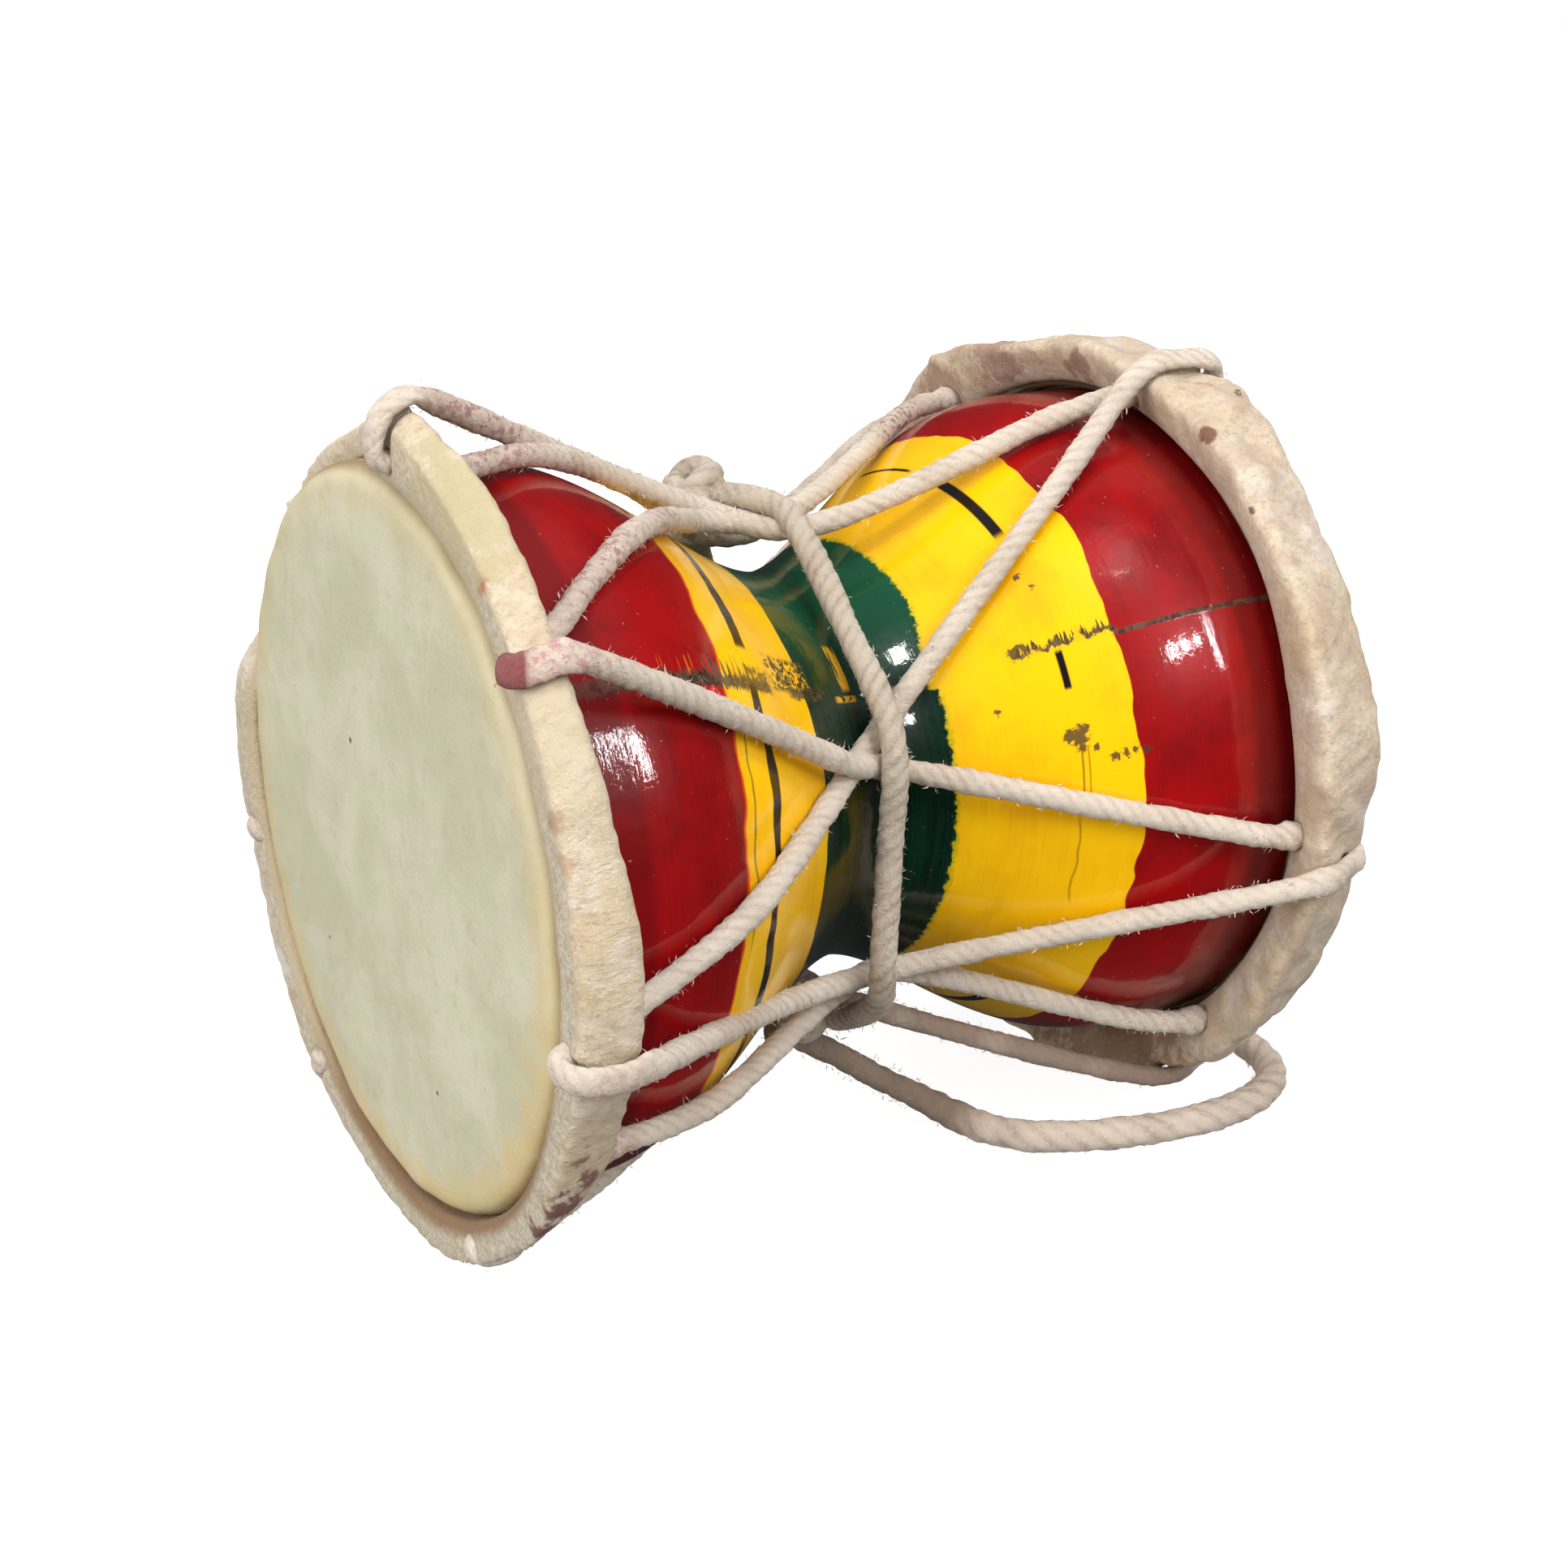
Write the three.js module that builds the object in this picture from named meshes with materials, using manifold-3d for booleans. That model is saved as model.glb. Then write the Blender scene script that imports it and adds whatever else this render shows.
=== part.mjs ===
import * as THREE from 'three';
import { mergeVertices } from 'three/addons/utils/BufferGeometryUtils.js';
import Module from 'manifold-3d';

// Hand drum with an hourglass wooden body, lying on its side on the two hoops.
// Millimetres, +Z up, X along the drum from the left head to the right head.
// Angles run round the drum axis: 0 at the top, 90 towards -Y, 180 underneath.

// Overall sizes
const axisHeight = 36.6;
const headHalfLength = 39.6;
const gap = 0.3;

// Turned wooden body
const bodyHalfLength = 38.7;
const collarRadius = 31.6;
const neckRadius = 18.2;
const neckBoreRadius = 8.5;
const mouthRadius = 27.8;
const endRadius = 30.0;
const bodySegments = 34;

// Head skins
const skinThickness = 0.6;
const skinOuterRadius = 32.5;
const skinEdgeRadius = 2.0;
const skinSag = 0.15;
const skinSkirtEnd = 34.6;
const skinSegments = 28;

// Hide-lapped hoops
const hoopInnerRadius = 32.9;
const hoopSegments = 40;

// Cords
const laceRadius = 1.15;
const waistCordRadius = 1.2;
const strikerRadius = 1.55;
const laceSides = 6;

const wasm = await Module();
wasm.setup();

function deg(angle) {
  return angle * Math.PI / 180;
}

function polar(x, radius, angle) {
  return new THREE.Vector3(x, -radius * Math.sin(deg(angle)), radius * Math.cos(deg(angle)));
}

// How far apart two angles are, in degrees, between -180 and 180
function turn(from, to) {
  return ((to - from + 540) % 360) - 180;
}

// Rounded and flat-topped rises that repeat once round the drum
function bump(angle, centre, width) {
  const t = turn(centre, angle) / width;
  return Math.exp(-t * t);
}

function plateau(angle, centre, width) {
  const t = turn(centre, angle) / width;
  return Math.exp(-Math.pow(t, 8));
}

function toSolid(geometry) {
  const bare = geometry.clone();
  bare.deleteAttribute('normal');
  bare.deleteAttribute('uv');
  const merged = mergeVertices(bare, 1e-5);
  const mesh = new wasm.Mesh({
    numProp: 3,
    vertProperties: new Float32Array(merged.attributes.position.array),
    triVerts: new Uint32Array(merged.index.array),
  });
  return new wasm.Manifold(mesh);
}

function toGeometry(solid) {
  const mesh = solid.getMesh();
  const geometry = new THREE.BufferGeometry();
  geometry.setAttribute('position', new THREE.BufferAttribute(mesh.vertProperties, 3));
  geometry.setIndex(new THREE.BufferAttribute(mesh.triVerts, 1));
  geometry.computeVertexNormals();
  return geometry;
}

// Closed skin over rings of points; the rings join end to end, or are capped
function ringMesh(rings, closed) {
  const sides = rings[0].length;
  const positions = [];
  const index = [];
  for (const ring of rings) {
    for (const point of ring) {
      positions.push(point.x, point.y, point.z);
    }
  }
  const spans = closed ? rings.length : rings.length - 1;
  for (let i = 0; i < spans; i += 1) {
    const next = (i + 1) % rings.length;
    for (let j = 0; j < sides; j += 1) {
      const k = (j + 1) % sides;
      const a = i * sides + j;
      const b = i * sides + k;
      const c = next * sides + k;
      const d = next * sides + j;
      index.push(a, b, c, a, c, d);
    }
  }
  if (!closed) {
    for (let j = 1; j < sides - 1; j += 1) {
      index.push(0, j + 1, j);
      const e = (rings.length - 1) * sides;
      index.push(e, e + j, e + j + 1);
    }
  }
  const geometry = new THREE.BufferGeometry();
  geometry.setAttribute('position', new THREE.Float32BufferAttribute(positions, 3));
  geometry.setIndex(index);
  return geometry;
}

// Round cord through a list of points, with capped ends unless it is closed
function cord(points, radius, sides, closed = false) {
  const count = points.length;
  const rings = [];
  let normal = null;
  for (let i = 0; i < count; i += 1) {
    const before = points[closed ? (i + count - 1) % count : Math.max(i - 1, 0)];
    const after = points[closed ? (i + 1) % count : Math.min(i + 1, count - 1)];
    const tangent = after.clone().sub(before).normalize();
    if (closed) {
      normal = new THREE.Vector3(1, 0, 0);
    }
    if (normal === null) {
      normal = Math.abs(tangent.z) < 0.8 ? new THREE.Vector3(0, 0, 1) : new THREE.Vector3(0, 1, 0);
    }
    normal = normal.clone().sub(tangent.clone().multiplyScalar(normal.dot(tangent))).normalize();
    const side = new THREE.Vector3().crossVectors(tangent, normal);
    const ring = [];
    for (let j = 0; j < sides; j += 1) {
      const t = 2 * Math.PI * (j + 0.5) / sides;
      ring.push(points[i].clone()
        .addScaledVector(normal, radius * Math.cos(t))
        .addScaledVector(side, radius * Math.sin(t)));
    }
    rings.push(ring);
  }
  return ringMesh(rings, closed);
}

function smooth(points, count, closed = false) {
  const curve = new THREE.CatmullRomCurve3(points, closed, 'centripetal');
  const list = curve.getSpacedPoints(count);
  if (closed) {
    list.pop();
  }
  return list;
}

function roundLathe(profile, segments) {
  const points = profile.map(([x, radius]) => new THREE.Vector2(radius, x));
  points.push(points[0].clone());
  const geometry = new THREE.LatheGeometry(points, segments);
  geometry.rotateZ(-Math.PI / 2);
  return geometry;
}

// Outside radius of the wood: an S-curve from the neck to a nearly straight collar
function woodRadius(x) {
  const run = 29.5;
  const t = Math.min(Math.abs(x) / run, 1);
  const rise = Math.pow(Math.sin(Math.PI / 2 * Math.pow(t, 1.06)), 1.62);
  return neckRadius + (collarRadius - neckRadius) * rise;
}

const woodStations = [37.4, 29, 23, 17.5, 12.5, 7.5, 2.5];

// Outline of the wood from end to end, with room left around it where it is asked for
function woodOutline(room) {
  const half = [[bodyHalfLength, endRadius + room]];
  for (const x of woodStations) {
    half.push([x, woodRadius(x) + room]);
  }
  const outline = half.map(([x, radius]) => [-x, radius]);
  outline.push(...half.reverse());
  return outline;
}

// Wooden body: one turned piece, bored through, with its two open mouths under the skins
function woodenBody() {
  const profile = woodOutline(0);
  const inside = [[bodyHalfLength, mouthRadius], [24, 23.4], [8, neckBoreRadius]];
  for (const [x, radius] of inside) {
    profile.push([x, radius]);
  }
  for (const [x, radius] of inside.slice().reverse()) {
    profile.push([-x, radius]);
  }
  return toGeometry(toSolid(roundLathe(profile, bodySegments)));
}

// Room that the cords leave around the wood
function woodRoom() {
  const profile = woodOutline(gap * 0.6);
  profile.push([bodyHalfLength, neckBoreRadius], [-bodyHalfLength, neckBoreRadius]);
  return toSolid(roundLathe(profile, bodySegments));
}

// Head skin: a taut disc with a rounded edge and a skirt down over the collar
function headSkin(side) {
  const face = headHalfLength;
  const back = face - skinThickness;
  const bendX = face - skinEdgeRadius;
  const bendRadius = skinOuterRadius - skinEdgeRadius;
  const innerBend = skinEdgeRadius - skinThickness;
  const diagonal = Math.SQRT1_2;
  const profile = [
    [face - skinSag, 0],
    [face, bendRadius],
    [bendX + skinEdgeRadius * diagonal, bendRadius + skinEdgeRadius * diagonal],
    [bendX, skinOuterRadius],
    [skinSkirtEnd, skinOuterRadius],
    [skinSkirtEnd, bendRadius + innerBend + 0.1],
    [bendX, bendRadius + innerBend + 0.1],
    [bendX + innerBend * diagonal, bendRadius + innerBend * diagonal],
    [back, bendRadius],
    [back - skinSag, 0],
  ];
  const points = profile.map(([x, radius]) => new THREE.Vector2(radius, side * x));
  if (side > 0) {
    points.reverse();
  }
  const geometry = new THREE.LatheGeometry(points, skinSegments);
  geometry.rotateZ(-Math.PI / 2);
  return toGeometry(toSolid(geometry));
}

// Section of each hoop at an angle: how far out the face edge and the waist-side edge stand
function leftHoopShape(angle) {
  const a = deg(angle);
  const wave = 0.28 * Math.sin(5 * a + 1) + 0.22 * Math.sin(11 * a + 2.1);
  return {
    faceX: 39.7 - 3.4 * plateau(angle, 322, 38) + 0.15 * Math.sin(7 * a),
    faceR: 36.75 + 0.25 * Math.cos(a) + 0.9 * bump(angle, 12, 10) - 1.6 * plateau(angle, 322, 38)
      + 0.9 * bump(angle, 236, 18) + 0.7 * bump(angle, 262, 18) + 0.4 * bump(angle, 210, 14)
      - 0.5 * bump(angle, 150, 16) + 0.6 * wave,
    backX: 34.6 + 2.4 * Math.cos(a) - 3.4 * plateau(angle, 322, 38) + 3.2 * bump(angle, 140, 20)
      + 0.3 * Math.sin(7 * a + 0.5),
    backR: 37.1 + 1.6 * Math.cos(a) + 1.9 * bump(angle, 180, 24) - 2.9 * plateau(angle, 322, 38)
      + 0.6 * bump(angle, 250, 34) - 2.1 * bump(angle, 144, 19) + wave,
  };
}

function rightHoopShape(angle) {
  const a = deg(angle);
  const wave = 0.3 * Math.sin(6 * a + 0.4) + 0.22 * Math.sin(11 * a + 1.3);
  return {
    faceX: 39.7 + 0.15 * Math.sin(6 * a + 1),
    faceR: 36.1 + 1.8 * bump(angle, 29, 12) + 1.3 * bump(angle, 81, 8) + 0.3 * wave,
    backX: 31.9 + 0.3 * Math.sin(7 * a + 2),
    backR: 37.7 - 0.4 * Math.cos(2 * a) - 0.9 * bump(angle, 0, 22) + 0.9 * bump(angle, 82, 9)
      + 1.2 * bump(angle, 327, 13) + wave,
  };
}

// Closed outline of the hoop at one angle, as distance from the waist and radius
function hoopSection(shape) {
  const { faceX, faceR, backX, backR } = shape;
  const midX = (faceX + backX) / 2;
  const midR = (faceR + backR) / 2;
  return [
    [faceX - 1.3, hoopInnerRadius],
    [faceX - 0.2, hoopInnerRadius + 1.2],
    [faceX, faceR - 0.9],
    [faceX - 0.8, faceR],
    [midX, midR + 0.45],
    [backX + 0.8, backR],
    [backX, backR - 1.0],
    [backX + 0.8, hoopInnerRadius + 1.6],
    [backX + 2.1, hoopInnerRadius],
  ];
}

function hoopRing(shapeAt, side) {
  const rings = [];
  for (let i = 0; i < hoopSegments; i += 1) {
    const angle = 360 * i / hoopSegments;
    const ring = hoopSection(shapeAt(angle)).map(([x, radius]) => {
      const point = polar(side * x, radius, angle);
      point.z = Math.max(point.z, -axisHeight);
      return point;
    });
    rings.push(side > 0 ? ring : ring.reverse());
  }
  return ringMesh(rings, true);
}

// The lacing: near and far mean the left and the right hoop
const laceTunnelRadius = 34.3;

// The way of a strand that ends under a hoop
function underEnd(side, shapeAt, angle) {
  const shape = shapeAt(angle);
  return [
    polar(side * (shape.faceX - 1.4), laceTunnelRadius, angle),
    polar(side * (shape.backX - 0.6), laceTunnelRadius - 0.2, angle),
  ];
}

// The way of a strand that comes up through the hide beside its partner, crosses the
// hoop's face and passes over it, pressed into the hide by the given depth
function overEnd(side, shapeAt, angle, partner, depth) {
  const shape = shapeAt(angle);
  const from = partner + turn(partner, angle) * 0.8;
  const midX = (shape.faceX + shape.backX) / 2;
  const midR = (shape.faceR + shape.backR) / 2;
  return [
    polar(side * (shape.faceX - 1.6), laceTunnelRadius, partner),
    polar(side * (shape.faceX - 1.2), laceTunnelRadius, from),
    polar(side * (shape.faceX + 1.2 - depth), laceTunnelRadius + 0.8, angle),
    polar(side * (shape.faceX + 0.6 - depth), shape.faceR + 1.1 - depth, angle),
    polar(side * (midX - 0.6), midR + 1.95 - depth, angle),
    polar(side * (shape.backX + 0.4), shape.backR + 1.5 - depth, angle),
  ];
}

// The loose end of the lacing: a short stub lying on the face of the left hoop
function stubEnd(side, shapeAt, angle, partner, depth) {
  const list = overEnd(side, shapeAt, angle, partner, depth);
  list[2] = polar(side * (headHalfLength + 1.3), laceTunnelRadius + 1.6, angle - 1.6);
  return list.slice(2);
}

// Taut run between two points: straight, or lying on the wood where the wood is in the way
function run(from, to, pieces) {
  const list = [];
  for (let i = 0; i <= pieces; i += 1) {
    list.push(from.clone().lerp(to, i / pieces));
  }
  for (let pass = 0; pass < 300; pass += 1) {
    for (let i = 1; i < pieces; i += 1) {
      const point = list[i];
      point.copy(list[i - 1]).add(list[i + 1]).multiplyScalar(0.5);
      const radius = Math.hypot(point.y, point.z);
      const clear = woodRadius(point.x) + laceRadius + gap + 0.1;
      if (radius < clear) {
        point.y *= clear / radius;
        point.z *= clear / radius;
      }
    }
  }
  const kept = [];
  for (let i = 1; i < pieces; i += 1) {
    const last = kept.length > 0 ? kept[kept.length - 1] : from;
    const before = list[i].clone().sub(last).normalize();
    const after = list[i + 1].clone().sub(list[i]).normalize();
    if (before.angleTo(after) > deg(3.5)) {
      kept.push(list[i]);
    }
  }
  return kept;
}

// Each strand: near end, points at the waist as x, radius, angle, then the far end
const strands = [
  { near: ['stub', 51.8, 46, 0.4], waist: [[-5.2, 22.0, 71.4], [-2, 20.4, 72.8]], far: ['under', 94] },
  { near: ['under', 94.6], waist: [[-4.5, 20.2, 71.8], [-0.5, 19.9, 62.9]], far: ['over', 18, 15, 0.5] },
  { near: ['over', 99.6, 94.6, 0.4], waist: [[-1.0, 22.8, 128]], far: ['over', 98.5, 94, 1.2] },
  { near: ['under', 118.5], waist: [[-4, 22.7, 134.5], [0, 22.0, 132]], far: ['under', 136] },
  { near: ['under', 46], waist: [[-6, 23.6, -8], [0, 23.2, -4]], far: ['under', -34] },
  { near: ['over', 10, 14, 0.4], waist: [[-5.5, 24.6, -11], [0, 23.2, 6]], far: ['under', 15] },
  { near: ['over', 155, 161, 1.5], waist: [[-2, 22.4, 178], [2, 21.6, 188]], far: ['over', 213, 207, 1.0] },
  { near: ['under', 208], waist: [[-2.5, 20.4, 185], [0.5, 22.9, 150]], far: ['over', 150, 137, 0.8] },
  { near: ['over', 215, 208, 1.4], waist: [[-2, 21.8, 236], [2, 21.2, 238]], far: ['under', 250] },
  { near: ['under', 248], waist: [[-2, 19.9, 239], [2, 19.9, 235]], far: ['under', 207] },
  { near: ['over', 254.5, 248, 1.4], waist: [[-2, 21.8, 279], [2, 21.2, 280]], far: ['under', 287] },
  { near: ['under', 307], waist: [[-2, 19.9, 282], [2, 19.9, 277]], far: ['over', 256, 250, 0.8] },
  { near: ['over', 313, 307, 1.3], waist: [[-3, 22.6, 334], [1.5, 22.0, 338]], far: ['over', 308, 325, 0.9] },
  { near: ['under', 14], waist: [[-5, 23.8, -22], [5, 21.6, 300]], far: ['over', 293, 287, 0.8] },
];

function endPoints(side, shapeAt, end) {
  if (end[0] === 'under') {
    return underEnd(side, shapeAt, end[1]);
  }
  if (end[0] === 'stub') {
    return stubEnd(side, shapeAt, end[1], end[2], end[3]);
  }
  return overEnd(side, shapeAt, end[1], end[2], end[3]);
}

function strandPoints(strand) {
  const near = endPoints(-1, leftHoopShape, strand.near);
  const waist = strand.waist.map(([x, radius, angle]) => polar(x, radius, angle));
  const list = near.slice();
  list.push(...run(near[near.length - 1], waist[0], 5), ...waist);
  const far = endPoints(1, rightHoopShape, strand.far);
  list.push(...run(waist[waist.length - 1], far[far.length - 1], 5));
  list.push(...far.reverse());
  return list;
}

function joined(solids) {
  return solids.reduce((whole, solid) => whole.add(solid)).asOriginal().simplify(0.1);
}

// The one large body of a cut solid, without slivers
function largest(solid) {
  const bodies = solid.asOriginal().simplify(0.1).decompose();
  return bodies.reduce((best, body) => (body.volume() > best.volume() ? body : best));
}

// Lacing: strands run from hoop to hoop and cross under the waist cord
function lacing() {
  const whole = joined(strands.map((strand) =>
    toSolid(cord(strandPoints(strand), laceRadius, laceSides))));
  return largest(whole.subtract(woodRoom()));
}

// The same way, a little longer at both ends
function lengthened(points, extra) {
  const list = points.map((point) => point.clone());
  const last = list.length - 1;
  list[0].add(points[0].clone().sub(points[1]).setLength(extra));
  list[last].add(points[last].clone().sub(points[last - 1]).setLength(extra));
  return list;
}

// Room for the lacing where it passes through and over a hoop
function laceRoom() {
  const solids = strands.map((strand) =>
    toSolid(cord(lengthened(strandPoints(strand), gap), laceRadius + gap + 0.08, laceSides)));
  return joined(solids);
}

const room = laceRoom();

// Waist cord: one turn round the neck over the crossings, knotted at the top
const waistRing = [
  [-3.6, 25.6, -16], [-1.6, 25.2, -6], [-0.5, 24.6, 3], [-0.6, 23.2, 12], [-1.4, 21.3, 36],
  [-1.9, 23.0, 67], [-2.0, 21.2, 94], [-3.3, 25.0, 117], [-2.0, 25.4, 128], [-1.0, 24.6, 140],
  [-0.5, 24.0, 154], [0, 23.4, 180], [0, 24.3, 204], [0, 24.3, 237], [0, 22.6, 258],
  [0, 24.2, 279], [0, 23.0, 300], [-1, 24.2, 318], [-3.2, 25.4, 334],
];

// A pulled-tight knot: turns of the cord drawn into one another
function knot(centre, size, thickness, turns) {
  const solids = [];
  for (let i = 0; i < turns; i += 1) {
    const loop = [];
    for (let j = 0; j < 8; j += 1) {
      const t = 2 * Math.PI * j / 8;
      loop.push(new THREE.Vector3(0, size * Math.cos(t), size * Math.sin(t)));
    }
    const round = cord(loop, thickness, 5, true);
    round.rotateY(0.5 + 0.9 * i);
    round.rotateZ(Math.PI * i / turns + 0.3);
    round.translate(centre.x, centre.y, centre.z);
    solids.push(toSolid(round));
  }
  return joined(solids);
}

const waistKnotAt = polar(-4.4, 26.6, -17);
const strikerHitchAt = new THREE.Vector3(-2.6, -8.6, -21.8);

function waistCord() {
  const ring = waistRing.map(([x, radius, angle]) => polar(x, radius, angle));
  const loop = toSolid(cord(smooth(ring, 29, true), waistCordRadius, 6, true));
  const tied = joined([
    loop,
    knot(waistKnotAt, 1.9, waistCordRadius, 3),
    knot(strikerHitchAt, 1.2, waistCordRadius, 2),
  ]);
  return toGeometry(largest(tied.subtract(room).subtract(woodRoom())));
}

// Striker cord: hangs from the waist cord, meets the table and curls round the right head
const tableHeight = -axisHeight;
const lying = tableHeight + strikerRadius + 0.06;
const strikerRoute = [
  [-1.5, -8.5, -24.9], [0.4, -9.0, -26.1], [4.7, -9.5, -29.4], [9.1, -10.1, -32.4],
  [12.2, -12.0, -34.5], [14.0, -15.4, lying], [16.2, -18.4, lying], [19.6, -20.7, lying],
  [24.2, -22.7, lying], [29.2, -24.1, lying], [35.0, -24.7, lying], [40.2, -24.0, lying],
  [44.2, -22.0, lying], [46.7, -18.6, lying], [47.6, -14.4, lying], [47.2, -10.2, lying],
  [46.2, -6.4, lying], [45.0, -2.8, lying],
];

function strikerCord() {
  const route = strikerRoute.map(([x, y, z]) => new THREE.Vector3(x, y, z));
  return cord(smooth(route, 21), strikerRadius, 8);
}

// The knot that weights the end of the striker cord
function strikerKnot() {
  const centre = new THREE.Vector3(43.9, 1.3, tableHeight + 3.16);
  return toGeometry(knot(centre, 1.95, strikerRadius, 3));
}

function part(name, geometry, color, roughness) {
  const material = new THREE.MeshStandardMaterial({ color, roughness, metalness: 0 });
  const mesh = new THREE.Mesh(geometry, material);
  mesh.name = name;
  return mesh;
}

const group = new THREE.Group();
group.name = 'hand_drum';
const leftHoop = largest(toSolid(hoopRing(leftHoopShape, -1)).subtract(room));
const rightHoop = largest(toSolid(hoopRing(rightHoopShape, 1)).subtract(room));
group.add(part('wooden_body', woodenBody(), 0x9a0f18, 0.22));
group.add(part('left_head_skin', headSkin(-1), 0xcdc9ac, 0.6));
group.add(part('right_head_skin', headSkin(1), 0xcdc9ac, 0.6));
group.add(part('left_hoop', toGeometry(leftHoop), 0xdfcba6, 0.75));
group.add(part('right_hoop', toGeometry(rightHoop), 0xdfcba6, 0.75));
group.add(part('lacing', toGeometry(lacing()), 0xe6dccb, 0.9));
group.add(part('waist_cord', waistCord(), 0xe2d8c6, 0.9));
group.add(part('striker_cord', strikerCord(), 0xd9c9b4, 0.9));
group.add(part('striker_knot', strikerKnot(), 0xd9c9b4, 0.9));

// The drum, without its striker, is centred over the origin and stands on z = 0
const outline = new THREE.Box3();
for (const mesh of group.children) {
  if (!mesh.name.startsWith('striker')) {
    outline.expandByObject(mesh);
  }
}
const centre = outline.getCenter(new THREE.Vector3());
for (const mesh of group.children) {
  mesh.geometry.translate(-centre.x, -centre.y, axisHeight);
}
export default group;
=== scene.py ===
import math
import random

import bmesh
import bpy
from mathutils import Matrix, Vector, kdtree, noise


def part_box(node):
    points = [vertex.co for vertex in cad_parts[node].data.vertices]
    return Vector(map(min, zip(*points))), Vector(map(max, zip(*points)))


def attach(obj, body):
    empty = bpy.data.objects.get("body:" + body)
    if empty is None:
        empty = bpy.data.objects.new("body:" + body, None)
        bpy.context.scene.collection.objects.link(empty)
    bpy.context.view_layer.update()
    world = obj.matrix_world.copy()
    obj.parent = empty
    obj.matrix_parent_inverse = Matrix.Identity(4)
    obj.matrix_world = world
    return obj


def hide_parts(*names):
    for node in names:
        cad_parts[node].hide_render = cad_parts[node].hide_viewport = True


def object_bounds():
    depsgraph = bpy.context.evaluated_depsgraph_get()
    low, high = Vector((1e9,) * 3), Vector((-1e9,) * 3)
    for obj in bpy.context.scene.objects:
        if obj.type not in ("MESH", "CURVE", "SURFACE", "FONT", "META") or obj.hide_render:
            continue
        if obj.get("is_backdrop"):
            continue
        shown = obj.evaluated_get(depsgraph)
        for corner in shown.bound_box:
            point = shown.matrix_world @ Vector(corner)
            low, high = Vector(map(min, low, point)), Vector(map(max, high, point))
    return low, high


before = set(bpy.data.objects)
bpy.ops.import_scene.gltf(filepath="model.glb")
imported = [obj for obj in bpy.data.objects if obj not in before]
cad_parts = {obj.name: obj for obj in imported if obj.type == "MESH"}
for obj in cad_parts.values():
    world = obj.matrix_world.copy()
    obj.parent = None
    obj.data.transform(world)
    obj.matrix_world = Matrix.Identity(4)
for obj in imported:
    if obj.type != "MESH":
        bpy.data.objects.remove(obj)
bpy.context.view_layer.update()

# The drum's own frame: millimetres from the middle of its axis, X along the drum, angles round
# it in degrees, 0 at the top and 90 towards the camera's side. The table is at table_z.
table_z = -36.6
wood_low, wood_high = (Vector(corner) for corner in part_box("wooden_body"))
middle = (wood_low + wood_high) / 2


def at(x, y, z):
    return middle + Vector((x, y, z)) / 1000


def round_at(x, radius, angle):
    a = math.radians(angle)
    return Vector((x, -radius * math.sin(a), radius * math.cos(a)))


# Camera: the photograph's, level, a little above the drum, looking at its left head and front.
scene = bpy.context.scene
camera = bpy.data.objects.new("camera", bpy.data.cameras.new("camera"))
scene.collection.objects.link(camera)
scene.camera = camera
camera.data.lens = 52.84
camera.data.sensor_width = 36
camera.data.clip_start = 0.01
right, up, forward = (0.8514, -0.5246, 0), (0.1766, 0.2866, 0.9416), (0.494, 0.8017, -0.3366)
turned = Matrix((right, up, [-value for value in forward])).transposed().to_4x4()
camera.matrix_world = Matrix.Translation(at(-106.24, -173.05, 70.72)) @ turned


# Wooden body: one piece turned on a lathe as an hourglass, bored through, and lacquered while it
# turned: red ends, yellow bands, a dark green waist, brushed rings, and smears where they close.
def finished(name, mesh, slot, material, *replaced):
    """Makes the object of a finished mesh, flat where it would dip below the table."""
    for vert in mesh.verts:
        vert.co.z = max(vert.co.z, 0.0)
    bmesh.ops.recalc_face_normals(mesh, faces=mesh.faces)
    data = bpy.data.meshes.new(name)
    mesh.to_mesh(data)
    mesh.free()
    piece = bpy.data.objects.new(name, data)
    scene.collection.objects.link(piece)
    data.materials.append(material)
    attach(piece, "root")
    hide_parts(*replaced)
    return piece


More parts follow.
